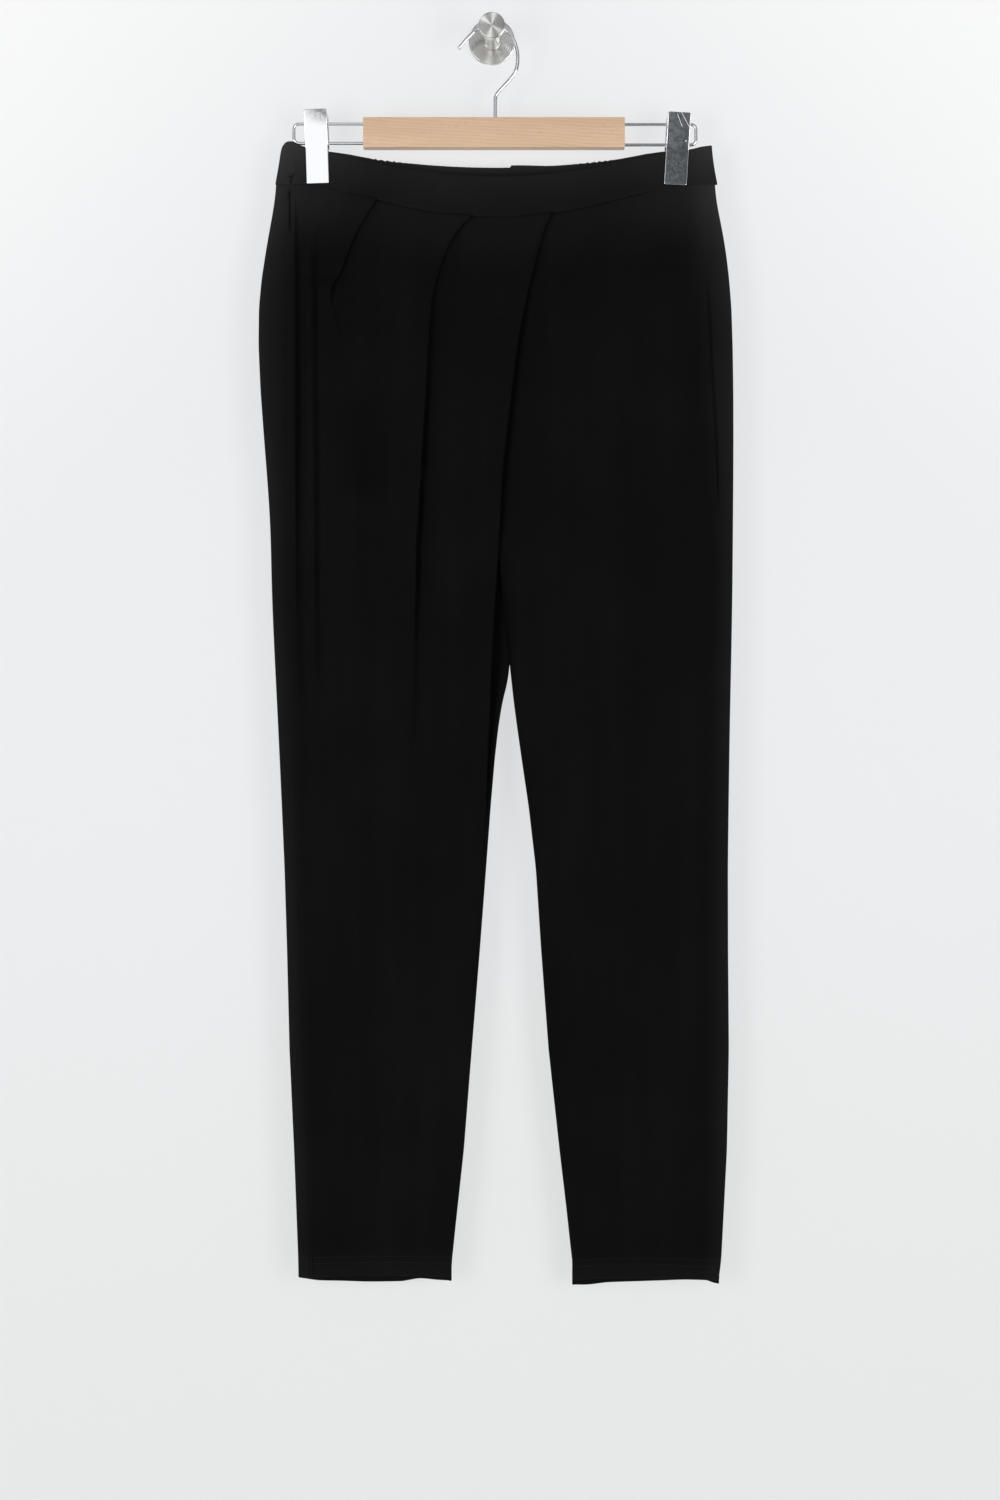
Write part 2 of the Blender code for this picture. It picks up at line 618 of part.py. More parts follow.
def clip_plate(name, clip, facing, pivot_drop):
    """Make one bent plate of a clip: an upright jaw below, and a lever that leans out above."""
    jaw_y = BAND_WALL + HALF_GAP + SEAM_GAP
    bend_drop = clip.bottom_drop - JAW_HEIGHT
    lean = math.tan(LEVER_LEAN) * (bend_drop - clip.top_drop)
    profile = ((jaw_y, clip.bottom_drop), (jaw_y, bend_drop), (jaw_y + lean, clip.top_drop))
    thick = PLATE_METAL
    section = [(y, drop) for y, drop in profile] + [(y + thick, drop) for y, drop in reversed(profile)]
    bm = bmesh.new()
    low_x = clip.x - clip.width / 2
    face = bm.faces.new([bm.verts.new((low_x, HANG_Y + facing * y, -drop)) for y, drop in section])
    grown = bmesh.ops.extrude_face_region(bm, geom=[face])
    moved = [item for item in grown["geom"] if isinstance(item, bmesh.types.BMVert)]
    bmesh.ops.translate(bm, vec=(clip.width, 0, 0), verts=moved)
    turn = Matrix.Rotation(math.radians(clip.tilt_degrees), 3, "Y")
    bmesh.ops.rotate(bm, cent=(clip.x, HANG_Y, -pivot_drop), matrix=turn, verts=bm.verts)
    return finish_mesh(bm, name, "chrome", 20)


def spring_sleeve(name, clip, drop):
    """Make the coiled spring round the lower slide rod, as a plain sleeve."""
    bm = bmesh.new()
    bore = ROD_WIRE + HOLE_CLEARANCE
    half = SPRING_LENGTH / 2
    section = ((-half, bore), (half, bore), (half, SPRING_RADIUS), (-half, SPRING_RADIUS))
    vertices = [bm.verts.new((clip.x + along, HANG_Y, -drop + radius)) for along, radius in section]
    edges = [bm.edges.new((vertices[i], vertices[(i + 1) % 4])) for i in range(4)]
    bmesh.ops.spin(bm, geom=vertices + edges, cent=(clip.x, HANG_Y, -drop), axis=(1, 0, 0),
                   angle=2 * math.pi, steps=16, use_merge=True)
    bmesh.ops.remove_doubles(bm, verts=bm.verts, dist=0.00001)
    return finish_mesh(bm, name, "steel", 30)


def build_clips():
    for clip, rod in zip(CLIPS, RODS):
        stem = "clip_" + clip.side.name
        clip_plate(stem + "_front", clip, -1, rod.bottom_drop)
        clip_plate(stem + "_back", clip, 1, rod.bottom_drop)
        spring_sleeve(stem + "_spring", clip, rod.bottom_drop)


def clear_scene():
    for obj in list(bpy.data.objects):
        bpy.data.objects.remove(obj, do_unlink=True)


clear_scene()
build_wall_hook()
drilled_bar()
build_hook()
build_rods()
build_clips()
build_garment()
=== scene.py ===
"""Looks of the black pull-on leggings that hang by two clips from a wooden hanger on a wall hook.

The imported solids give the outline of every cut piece. Here each piece of jersey becomes a thin shell with
its pleats, folds, seams and turned hems, and the hanger and the wall hook get their fine shapes and finishes.
Lengths are in metres, or in millimetres inside mm(). A height is written as a drop, the distance below
the origin.
"""

import logging
import math
from dataclasses import dataclass
from enum import Enum
from typing import Callable, Optional, Sequence, Union

import bmesh
import bpy
import numpy as np
from mathutils import Matrix, Vector


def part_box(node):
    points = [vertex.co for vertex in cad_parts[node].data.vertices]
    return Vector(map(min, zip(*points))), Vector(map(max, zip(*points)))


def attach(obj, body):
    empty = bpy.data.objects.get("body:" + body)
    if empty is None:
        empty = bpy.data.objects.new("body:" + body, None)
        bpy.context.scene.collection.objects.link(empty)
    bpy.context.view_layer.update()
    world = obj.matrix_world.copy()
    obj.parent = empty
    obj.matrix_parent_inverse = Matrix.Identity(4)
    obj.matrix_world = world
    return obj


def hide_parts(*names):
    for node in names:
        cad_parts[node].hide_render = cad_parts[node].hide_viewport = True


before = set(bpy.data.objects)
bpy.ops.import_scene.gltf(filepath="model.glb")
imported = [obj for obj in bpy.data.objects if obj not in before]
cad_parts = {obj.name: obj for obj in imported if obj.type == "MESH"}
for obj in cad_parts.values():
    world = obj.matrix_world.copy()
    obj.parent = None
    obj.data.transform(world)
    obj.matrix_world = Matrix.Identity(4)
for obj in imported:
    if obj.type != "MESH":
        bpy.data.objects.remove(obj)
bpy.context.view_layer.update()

log = logging.getLogger("leggings")

Array = np.ndarray
Triple = tuple[float, float, float]
Colour = Triple
Place = tuple[float, float]
Material = bpy.types.Material
Mesh = bpy.types.Mesh
Object = bpy.types.Object
Socket = bpy.types.NodeSocket
Paintable = Union[Socket, Colour]
BMesh = bmesh.types.BMesh
BMVert = bmesh.types.BMVert

BODY = "root"
# Name of the point attribute of painted light on the cloth: painted sheen above 0, painted shade below 0.
PAINTED_LIGHT = "nap"
EDGE_ROUND = 0.0016
LEAST_DEPTH = 0.00025
MERGE_DISTANCE = 0.00001
UP = np.array([0.0, 0.0, 1.0])


class Side(Enum):
    """The wearer's two sides, with the sign that X has there."""

    RIGHT = -1
    LEFT = 1

    @property
    def label(self) -> str:
        """The side's name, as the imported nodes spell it."""
        return self.name.lower()


class Facing(Enum):
    """Front or back of the garment, with the sign that Y has there."""

    FRONT = -1
    BACK = 1

    @property
    def label(self) -> str:
        """The facing's name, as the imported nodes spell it."""
        return self.name.lower()


# ---- Curves, steps and sections -------------------------------------------------------------------

def rise(x: Array, low: float, high: float) -> Array:
    """Rise from 0 at low to 1 at high, level at both ends."""
    t = np.clip((np.asarray(x, float) - low) / (high - low), 0.0, 1.0)
    return t * t * (3 - 2 * t)


def fall(x: Array, low: float, high: float) -> Array:
    """Fall from 1 at low to 0 at high, level at both ends."""
    return 1 - rise(x, low, high)


def mix(a: Array, b: Array, t: Array) -> Array:
    """Return what lies the share t of the way from a to b."""
    return a + (b - a) * t


class SmoothCurve:
    """A smooth function through given values, which never overshoots them and is level past its ends."""

    def __init__(self, at: Sequence[float], values: Sequence[float]) -> None:
        """Keep the stations and the slope at each of them.

        Args:
            at: Stations, rising.
            values: The value at each station.
        """
        self.at = np.asarray(at, float)
        self.values = np.asarray(values, float)
        steps = np.diff(self.values) / np.diff(self.at)
        before, after = np.append(steps[:1], steps), np.append(steps, steps[-1:])
        both = before + after
        rising = before * after > 0
        self.slopes = np.where(rising, 2 * before * after / np.where(rising, both, 1.0), 0.0)

    def __call__(self, x: Array) -> Array:
        """Return the values at x."""
        x = np.clip(np.asarray(x, float), self.at[0], self.at[-1])
        i = np.clip(np.searchsorted(self.at, x) - 1, 0, len(self.at) - 2)
        span = self.at[i + 1] - self.at[i]
        t = (x - self.at[i]) / span
        ends = (1 + 2 * t) * (1 - t) ** 2 * self.values[i] + t * t * (3 - 2 * t) * self.values[i + 1]
        turns = t * (1 - t) ** 2 * self.slopes[i] - t * t * (1 - t) * self.slopes[i + 1]
        return ends + turns * span


def mm(*lengths: float) -> tuple[Place, ...]:
    """Return points in metres, from a row of numbers in millimetres, two for each point."""
    metres = [length / 1000 for length in lengths]
    return tuple(zip(metres[::2], metres[1::2]))


def curve_through(points: Sequence[Place]) -> SmoothCurve:
    """Return the smooth curve through (station, value) points."""
    stations, values = zip(*points)
    return SmoothCurve(stations, values)


class SolidOutline:
    """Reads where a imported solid's outline lies, by cutting it with level or upright planes."""

    def __init__(self, *nodes: str) -> None:
        """Gather the triangles of the named nodes.

        Args:
            nodes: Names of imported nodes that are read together.
        """
        found = []
        for node in nodes:
            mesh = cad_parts[node].data
            mesh.calc_loop_triangles()
            places = np.array([vertex.co for vertex in mesh.vertices], float)
            corners = np.array([triangle.vertices for triangle in mesh.loop_triangles])
            found.append(places[corners])
        triangles = np.concatenate(found)
        self.starts = triangles.reshape(-1, 3)
        self.ends = triangles[:, [1, 2, 0]].reshape(-1, 3)

    def section(self, axis: int, at: float) -> Array:
        """Return the points where the solid's edges cross the plane at a place on an axis."""
        low, high = self.starts[:, axis], self.ends[:, axis]
        crossing = (low - at) * (high - at) < 0
        share = ((at - low[crossing]) / (high[crossing] - low[crossing]))[:, None]
        return mix(self.starts[crossing], self.ends[crossing], share)

    def edge(self, cut_axis: int, stations: Array, along: int, sign: int, blur: int = 2) -> SmoothCurve:
        """Return the outline as a curve over the stations.

        Args:
            cut_axis: Axis whose planes cut the solid.
            stations: Places of the cuts, rising.
            along: Axis along which the furthest point is read.
            sign: 1 for the highest point, -1 for the lowest.
            blur: How many neighbouring cuts round off the solid's facets.

        Returns:
            The outline's place at each station.
        """
        values = []
        for at in stations:
            points = self.section(cut_axis, at)
            values.append(sign * (sign * points[:, along]).max() if len(points) else np.nan)
        read = np.array(values)
        known = ~np.isnan(read)
        read = np.interp(stations, np.asarray(stations)[known], read[known])
        padded = np.pad(read, blur, mode="reflect", reflect_type="odd")
        kernel = np.ones(2 * blur + 1) / (2 * blur + 1)
        return SmoothCurve(stations, np.convolve(padded, kernel, mode="valid"))


def arc_length(points: Array, axis: int) -> Array:
    """Return how far each point of a grid lies along its row (axis 1) or its column (axis 0)."""
    steps = np.linalg.norm(np.diff(points, axis=axis), axis=2)
    start = np.zeros_like(np.take(steps, [0], axis=axis))
    return np.concatenate([start, np.cumsum(steps, axis=axis)], axis=axis)


# ---- Shader and geometry nodes --------------------------------------------------------------------

def operator(operation: str, swap: bool = False) -> Callable[..., "Value"]:
    """Return a method of Value that adds a Math node.

    Args:
        operation: The node's operation.
        swap: Whether the value comes second, as in 1 - value.

    Returns:
        The method.
    """
    def apply(value: "Value", *others: Union["Value", float]) -> "Value":
        """Add the node."""
        return value.math(operation, *others, swap=swap)

    return apply


class Value:
    """A number that a node gives: arithmetic on it adds Math nodes."""

    def __init__(self, nodes: "Nodes", socket: Socket) -> None:
        """Wrap an output socket of a tree."""
        self.nodes = nodes
        self.socket = socket

    def math(self, operation: str, *others: Union["Value", float], swap: bool = False) -> "Value":
        """Return the result of a Math node on this value and others, in turned order for a swap."""
        operands = (self, *others)[::-1 if swap else 1]
        node = self.nodes.add("ShaderNodeMath", {"operation": operation}, dict(enumerate(operands)))
        return Value(self.nodes, node.outputs[0])

    __add__ = __radd__ = operator("ADD")
    __sub__ = operator("SUBTRACT")
    __rsub__ = operator("SUBTRACT", swap=True)
    __mul__ = __rmul__ = operator("MULTIPLY")
    __pow__ = operator("POWER")
    __abs__ = operator("ABSOLUTE")
    sine = operator("SINE")
    cosine = operator("COSINE")
    larger = operator("MAXIMUM")

    def ramp(self, low: float, high: float) -> "Value":
        """Rise smoothly from 0 at low to 1 at high."""
        settings = {"interpolation_type": "SMOOTHSTEP", "clamp": True}
        inputs = {"Value": self, "From Min": low, "From Max": high}
        return Value(self.nodes, self.nodes.add("ShaderNodeMapRange", settings, inputs).outputs["Result"])


class Nodes:
    """Adds nodes to one tree."""

    def __init__(self, tree: bpy.types.NodeTree) -> None:
        """Keep the tree that the nodes go to."""
        self.tree = tree

    def add(self, kind: str, settings: Optional[dict] = None,
            inputs: Optional[dict] = None) -> bpy.types.Node:
        """Add a node.

        Args:
            kind: The node's type.
            settings: Its properties, set first.
            inputs: Its inputs, by name or by number: numbers, colours, or values, sockets and nodes to link.

        Returns:
            The node.
        """
        node = self.tree.nodes.new(kind)
        for name, setting in (settings or {}).items():
            setattr(node, name, setting)
        for name, given in (inputs or {}).items():
            port = node.inputs[name]
            if isinstance(given, Value):
                given = given.socket
            elif isinstance(given, bpy.types.Node):
                given = given.outputs[0]
            if isinstance(given, Socket):
                self.tree.links.new(given, port)
            else:
                port.default_value = (*given, 1.0) if port.type == "RGBA" else given
        return node


class Surface(Nodes):
    """One material's tree, with the patterns that several finishes use."""

    def __init__(self, name: str) -> None:
        """Start an empty material."""
        self.material = bpy.data.materials.new(name)
        self.material.use_nodes = True
        super().__init__(self.material.node_tree)
        self.tree.nodes.clear()

    def place(self, output: str = "Object") -> Socket:
        """Return where a point lies: Object for its place in the frame, UV for its place on the cloth."""
        return self.add("ShaderNodeTexCoord").outputs[output]

    def parts(self, vector: Socket) -> tuple[Value, Value, Value]:
        """Split a vector into its three numbers."""
        outputs = self.add("ShaderNodeSeparateXYZ", inputs={0: vector}).outputs
        return tuple(Value(self, output) for output in outputs)

    def scaled(self, vector: Socket, scale: Triple) -> Socket:
        """Return the vector with each of its numbers scaled."""
        return self.add("ShaderNodeMapping", inputs={"Vector": vector, "Scale": scale}).outputs[0]

    def noise(self, vector: Socket, scale: float, detail: float = 3.0, rough: float = 0.5) -> Value:
        """Return soft noise, from about 0.25 to 0.75."""
        inputs = {"Vector": vector, "Scale": scale, "Detail": detail, "Roughness": rough}
        return Value(self, self.add("ShaderNodeTexNoise", inputs=inputs).outputs[0])

    def blend(self, share: Union[Value, float], first: Paintable, second: Paintable) -> Socket:
        """Return the colour that lies the share of the way from the first to the second."""
        return self.add("ShaderNodeMix", {"data_type": "RGBA"}, {0: share, 6: first, 7: second}).outputs[2]

    def bump(self, height: Value, distance: float, strength: float = 1.0) -> Socket:
        """Return the normal of a surface with this relief."""
        inputs = {"Height": height, "Distance": distance, "Strength": strength}
        return self.add("ShaderNodeBump", inputs=inputs).outputs[0]

    def finish(self, **inputs: object) -> Material:
        """End in a Principled shader.

        Args:
            inputs: The shader's inputs, with _ for the spaces in their names.

        Returns:
            The finished material.
        """
        named = {name.replace("_", " "): given for name, given in inputs.items()}
        return self.put_out(self.add("ShaderNodeBsdfPrincipled", inputs=named))

    def put_out(self, shader: bpy.types.Node) -> Material:
        """Send a shader to the material's output."""
        self.add("ShaderNodeOutputMaterial", inputs={"Surface": shader})
        return self.material


# ---- Finishes -------------------------------------------------------------------------------------

@dataclass(frozen=True)
class Jersey:
    """Dull black stretch jersey: fine wales, a faint bloom, hardly any shine; painted sheen and shade come
    from a point attribute.
    """

    colour: Colour = (0.0026, 0.0026, 0.0026)
    bloom: Colour = (0.0046, 0.0046, 0.0045)
    # Colour of the painted sheen, used where the painted light is above 0.
    brushed: Colour = (0.036, 0.0357, 0.0353)
    # Colour of the painted shade, used where the painted light is below 0.
    pressed: Colour = (0.0004, 0.0004, 0.0004)
    wale: float = 0.0011
    relief: float = 0.0001
    # Share of the painted sheen colour at a painted light of 1.
    lift_share: float = 0.15

    def material(self, name: str = "black_jersey") -> Material:
        """Return the material."""
        surface = Surface(name)
        cloth = surface.place("UV")
        wales = surface.noise(surface.scaled(cloth, (1.0, 0.22, 1.0)), 1.0 / self.wale, 2.0)
        yarn = surface.noise(cloth, 2.4 / self.wale, 2.0, 0.6)
        cloudy = surface.noise(surface.place(), 9.0, 4.0, 0.55)
        streaks = surface.noise(surface.scaled(surface.place(), (60.0, 60.0, 5.0)), 1.0, 3.0)
        worn = (cloudy * 0.7 + streaks * 0.5 - 0.42).ramp(0.0, 0.5)
        height = wales * 0.6 + yarn * 0.4
        # Painted light at each point: sheen above 0, shade below 0.
        nap = Value(surface, surface.add("ShaderNodeAttribute", {"attribute_name": PAINTED_LIGHT}).outputs["Fac"])
        plain = surface.blend(worn * 0.8 + (height - 0.5) * 0.5, self.colour, self.bloom)
        # Painted sheen, made a little uneven.
        share = nap.larger(0.0) * self.lift_share * (1.0 + (cloudy - 0.5) * 0.6)
        lifted = surface.blend(share, plain, self.brushed)
        # Share of painted shade, which also makes the cloth a little rougher.
        flat = (nap * -1.0).larger(0.0)
        return surface.finish(
            Base_Color=surface.blend(flat, lifted, self.pressed),
            Roughness=0.86 + (height - 0.5) * 0.15 + flat * 0.08,
            Specular_IOR_Level=0.05,
            Sheen_Weight=0.022,
            Sheen_Roughness=0.3,
            Normal=surface.bump(height, self.relief, 0.7),
        )


@dataclass(frozen=True)
class Thread:
    """Black polyester sewing thread, twisted and a little glossier than the cloth."""

    colour: Colour = (0.0065, 0.0065, 0.007)

    def material(self) -> Material:
        """Return the material."""
        surface = Surface("black_thread")
        twist = surface.noise(surface.place(), 2600.0, 2.0)
        return surface.finish(
            Base_Color=surface.blend(twist, self.colour, (0.01, 0.01, 0.0105)),
            Roughness=0.62 + (twist - 0.5) * 0.2,
            Specular_IOR_Level=0.16,
            Normal=surface.bump(twist, 0.00008),
        )


@dataclass(frozen=True)
class Beech:
    """Pale lacquered beech, with its grain along the bar and short darker flecks."""

    light: Colour = (0.715, 0.505, 0.345)
    dark: Colour = (0.6, 0.4, 0.258)
    fleck: Colour = (0.47, 0.28, 0.165)

    def material(self) -> Material:
        """Return the material."""
        surface = Surface("beech")
        place = surface.place()
        drift = surface.noise(surface.scaled(place, (9.0, 30.0, 30.0)), 1.0, 2.0)
        x, y, z = surface.parts(place)
        rings = (z * 2100.0 + y * 500.0 + x * 120.0 + drift * 22.0).sine() * 0.5 + 0.5
        fibres = surface.noise(surface.scaled(place, (55.0, 900.0, 900.0)), 1.0, 3.0, 0.6)
        flecks = surface.noise(surface.scaled(place, (210.0, 1500.0, 1500.0)), 1.0, 1.0).ramp(0.66, 0.74)
        patches = surface.noise(surface.scaled(place, (14.0, 20.0, 60.0)), 1.0, 2.0)
        grain = rings * 0.38 + (fibres - 0.5) * 1.0 + (patches - 0.5) * 0.7 + 0.24
        wood = surface.blend(grain.ramp(-0.15, 1.05), self.light, self.dark)
        return surface.finish(
            Base_Color=surface.blend(flecks * 0.55, wood, self.fleck),
            Roughness=0.42 + (fibres - 0.5) * 0.25,
            Specular_IOR_Level=0.35,
            Coat_Weight=0.12,
            Coat_Roughness=0.25,
            Normal=surface.bump(fibres - flecks * 0.5, 0.00012, 0.6),
        )


@dataclass(frozen=True)
class Chrome:
    """Bright plating, with fine mottling and, on a clip that has been handled, scratches; given a corner, the
    darkened mottling gathers there as painted shade.
    """

    name: str = "chrome"
    colour: Colour = (0.8, 0.815, 0.84)
    roughness: float = 0.07
    mottle: float = 0.06
    tarnish: float = 0.85
    spread: float = 0.5
    worn_at: Optional[Place] = None
    worn_reach: float = 0.026

    def material(self, scratches: Sequence["Scratch"] = ()) -> Material:
        """Return the material.

        Args:
            scratches: Marks on the plating.

        Returns:
            The material.
        """
        surface = Surface(self.name)
        place = surface.place()
        cloudy = surface.noise(place, 260.0, 4.0, 0.6)
        fine = surface.noise(place, 1900.0, 2.0, 0.6)
        mottled = ((cloudy - 0.5) * 1.6 + (fine - 0.5) * 0.9 + self.spread).ramp(0.1, 0.9)
        # Painted shade: the darkened mottling is kept near one corner and fades out over the reach.
        if self.worn_at is not None:
            x, _, z = surface.parts(place)
            dx, dz = x - self.worn_at[0], (z + self.worn_at[1]) * 1.6
            away = (dx * dx + dz * dz) ** 0.5
            mottled = mottled * (1.0 - away.ramp(0.1 * self.worn_reach, self.worn_reach))
        # Darker colour of the mottling: random dark mottling, and painted shade where it is gathered at a
        # corner.
        tarnish_and_shade_colour = tuple(part * self.tarnish for part in self.colour)
        colour = surface.blend(mottled * 0.9, self.colour, tarnish_and_shade_colour)
        roughness = self.roughness + mottled * self.mottle
        relief = fine * 0.25 + cloudy
        for scratch in scratches:
            mark = scratch.mask(surface)
            colour = surface.blend(mark * 0.85, colour, (0.95, 0.95, 0.93))
            roughness = roughness + mark * 0.45
            relief = relief - mark * 1.5
        return surface.finish(
            Base_Color=colour,
            Metallic=1.0,
            Roughness=roughness,
            Normal=surface.bump(relief, 0.00003, 0.35),
        )


@dataclass(frozen=True)
class Scratch:
    """A straight mark on a plate, between two places given as (X, drop)."""

    start: Place
    end: Place
    half_width: float = 0.00017

    def mask(self, surface: Surface) -> Value:
        """Return 1 on the mark and 0 away from it."""
        x, _, z = surface.parts(surface.place())
        along = Vector((self.end[0] - self.start[0], self.start[1] - self.end[1]))
        length = along.length
        along.normalize()
        dx = x - self.start[0]
        dz = z + self.start[1]
        t = dx * along.x + dz * along.y
        off = abs(dx * -along.y + dz * along.x)
        ragged = surface.noise(surface.place(), 1500.0, 1.0)
        uneven = off - (ragged - 0.5) * 0.0003
        on_line = 1.0 - uneven.ramp(self.half_width * 0.4, self.half_width * 1.6)
        return on_line * t.ramp(-0.0006, 0.0006) * (1.0 - t.ramp(length - 0.001, length))


@dataclass(frozen=True)
class Steel:
    """Brushed stainless steel, turned about the wall hook's axis, with painted highlights: glint wedges and a
    lighter side.
    """

    name: str
    colour: Colour = (0.5, 0.49, 0.475)
    bright: Colour = (0.97, 0.965, 0.95)
    roughness: float = 0.27
    glints: tuple[float, ...] = ()
    glint_share: float = 0.8
    glint_power: float = 26.0
    lit_from: Optional[float] = None
    lit_share: float = 0.68

    def material(self) -> Material:
        """Return the material."""
        surface = Surface(self.name)
        place = surface.place()
        x, y, z = surface.parts(place)
        radius = (x * x + z * z) ** 0.5
        angle = z.math("ARCTAN2", x)
        rings = surface.add("ShaderNodeCombineXYZ", inputs={0: radius * 3800.0, 1: y * 1500.0, 2: 0.0})
        brushed = surface.noise(rings, 1.0, 2.0, 0.7)
        cloudy = surface.noise(place, 180.0, 3.0)
        paler = tuple(min(1.0, part * 1.35) for part in self.colour)
        colour = surface.blend((brushed - 0.25) * 0.9, self.colour, paler)
        # Painted highlights: light wedges through the axis at the given angles, on both sides.
        for direction in self.glints:
            wedge = abs((angle - math.radians(direction)).cosine()) ** self.glint_power
            colour = surface.blend(wedge * self.glint_share, colour, self.bright)
        # Painted light: the side facing the given angle is made lighter.
        if self.lit_from is not None:
            side = ((angle - math.radians(self.lit_from)).cosine() * 0.5 + 0.5) ** 3.0
            colour = surface.blend(side * self.lit_share, colour, self.bright)
        return surface.finish(
            Base_Color=colour,
            Metallic=1.0,
            Roughness=self.roughness + (brushed - 0.5) * 0.16 + (cloudy - 0.5) * 0.05,
            Normal=surface.bump(brushed, 0.00002, 0.4),
        )


@dataclass(frozen=True)
class Paint:
    """Matt wall or floor paint, with a faint roller texture, painted lighter towards the top and upper
    corners and darker towards the bottom; its glow emits part of its colour as light.
    """

    name: str
    top: Colour
    colour: Colour
    shade: Colour
    glow: float = 0.0
    see_through_behind: bool = False

    def material(self) -> Material:
        """Return the material."""
        surface = Surface(self.name)
        place = surface.place()
        x, _, z = surface.parts(place)
        roller = surface.noise(place, 240.0, 3.0, 0.6)
        cloudy = surface.noise(place, 1.3, 2.0)
        # Painted light: lighter towards the top and the upper corners.
        high = (z + abs(x) * 0.75 + cloudy * 0.12).ramp(-0.1, 0.52)
        # Painted shade: darker towards the bottom.
        low = 1.0 - (z + cloudy * 0.25).ramp(-1.3, -0.2)
        colour = surface.blend(low, surface.blend(high, self.colour, self.top), self.shade)
        # The glow share of the colour is emitted, which thins the shadows cast on it.
        shader = surface.add("ShaderNodeBsdfPrincipled", inputs={
            "Base Color": surface.blend(self.glow, colour, (0.0, 0.0, 0.0)),
            "Emission Color": colour,
            "Emission Strength": self.glow,
            "Roughness": 0.9,
            "Specular IOR Level": 0.1,
            "Normal": surface.bump(roller, 0.00015, 0.4),
        })
        if self.see_through_behind:
            clear = surface.add("ShaderNodeBsdfTransparent")
            behind = Value(surface, surface.add("ShaderNodeNewGeometry").outputs["Backfacing"])
            shadow = Value(surface, surface.add("ShaderNodeLightPath").outputs["Is Shadow Ray"])
            parts = {0: behind.larger(shadow), 1: shader, 2: clear}
            shader = surface.add("ShaderNodeMixShader", inputs=parts)
        return surface.put_out(shader)


# ---- Making meshes --------------------------------------------------------------------------------

def add_object(name: str, mesh: Mesh, material: Material) -> Object:
    """Put a mesh in the scene with its material."""
    mesh.materials.clear()
    mesh.materials.append(material)
    made = bpy.data.objects.new(name, mesh)
    bpy.context.scene.collection.objects.link(made)
    return made


def finish_bmesh(bm: BMesh, name: str, material: Material, sharp: float = 35) -> Object:
    """Turn the faces outwards, shade the piece smooth between sharp edges, and add it.

    Args:
        bm: The finished form, which is freed.
        name: The piece's name.
        material: Its finish.
        sharp: Angle, in degrees, from which an edge stays sharp.

    Returns:
        The new object.
    """
    bmesh.ops.recalc_face_normals(bm, faces=bm.faces)
    mesh = bpy.data.meshes.new(name)
    bm.to_mesh(mesh)
    bm.free()
    mesh.shade_smooth()
    mesh.set_sharp_from_angle(angle=math.radians(sharp))
    return add_object(name, mesh, material)


def dress(piece: Object, slot: str, *nodes: str) -> None:
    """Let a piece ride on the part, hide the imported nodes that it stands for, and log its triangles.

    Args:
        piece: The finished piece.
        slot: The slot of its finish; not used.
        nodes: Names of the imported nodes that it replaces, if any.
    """
    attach(piece, BODY)
    if nodes:
        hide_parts(*nodes)
    triangles = sum(len(face.vertices) - 2 for face in piece.data.polygons)
    log.info("%s: %d triangles", piece.name, triangles)


@dataclass
class Sheet:
    """A grid of points on the middle of a piece of cloth, which becomes a thin shell."""

    name: str
    points: Array
    facing: Facing
    thickness: float
    # Painted light at each point: painted sheen above 0, painted shade below 0.
    nap: Array

    def declare(self, piece: Object, clips: Sequence[str], **others: object) -> None:
        """Args:
            piece: The shell.
            clips: Names of the clips that hold it; not used.
            others: What else is said of it, such as the pieces sewn to it; not used.
        """
        points = self.points
        flat = tuple(round(float(arc_length(points, axis).max()), 4) for axis in (1, 0))
        diagonals = points[1:, 1:] - points[:-1, :-1], points[1:, :-1] - points[:-1, 1:]
        area = round(float(np.linalg.norm(np.cross(*diagonals), axis=2).sum() / 2), 5)
        log.info("%s: cut from %.3f by %.3f m, %.4f square metres", piece.name, *flat, area)

    def build(self, material: Material) -> Object:
        """Make the closed shell, with its place on the cloth as its UV map, in metres.

        Args:
            material: The cloth's finish.

        Returns:
            The shell.
        """
        rows, columns = self.points.shape[:2]
        out = grid_normals(self.points)
        if out[: rows // 4, :, 1].mean() * self.facing.value < 0:
            out = -out
        half = out * self.thickness / 2
        places = np.stack([self.points + half, self.points - half]).reshape(-1, 3)
        number = np.arange(rows * columns).reshape(rows, columns)
        quads = np.stack([number[:-1, :-1], number[:-1, 1:], number[1:, 1:], number[1:, :-1]], axis=-1)
        rim = np.concatenate([number[0, :], number[1:, -1], number[-1, -2::-1], number[-2::-1, 0]])
        hidden = rim + rows * columns
        outer = quads.reshape(-1, 4)
        inner = outer[:, ::-1] + rows * columns
        edge = np.stack([rim[1:], rim[:-1], hidden[:-1], hidden[1:]], axis=-1)
        faces = np.concatenate([outer, inner, edge])
        corner = self.points[: rows // 4]
        turn = np.cross(np.diff(corner, axis=1)[:-1], np.diff(corner, axis=0)[:, :-1])
        if turn[..., 1].mean() * self.facing.value < 0:
            faces = faces[:, ::-1]
        mesh = bpy.data.meshes.new(self.name)
        mesh.from_pydata(places.tolist(), [], faces.tolist())
        cloth = np.stack([arc_length(self.points, 1), arc_length(self.points, 0)], axis=-1).reshape(-1, 2)
        layer = mesh.uv_layers.new(name="cloth")
        layer.data.foreach_set("uv", np.tile(cloth, (2, 1))[faces.reshape(-1)].astype(np.float32).ravel())
        # Store the painted light for the cloth's colour.
        nap = mesh.attributes.new(PAINTED_LIGHT, "FLOAT", "POINT")
        nap.data.foreach_set("value", np.tile(self.nap.ravel(), 2).astype(np.float32))
        mesh.shade_smooth()
        return add_object(self.name, mesh, material)


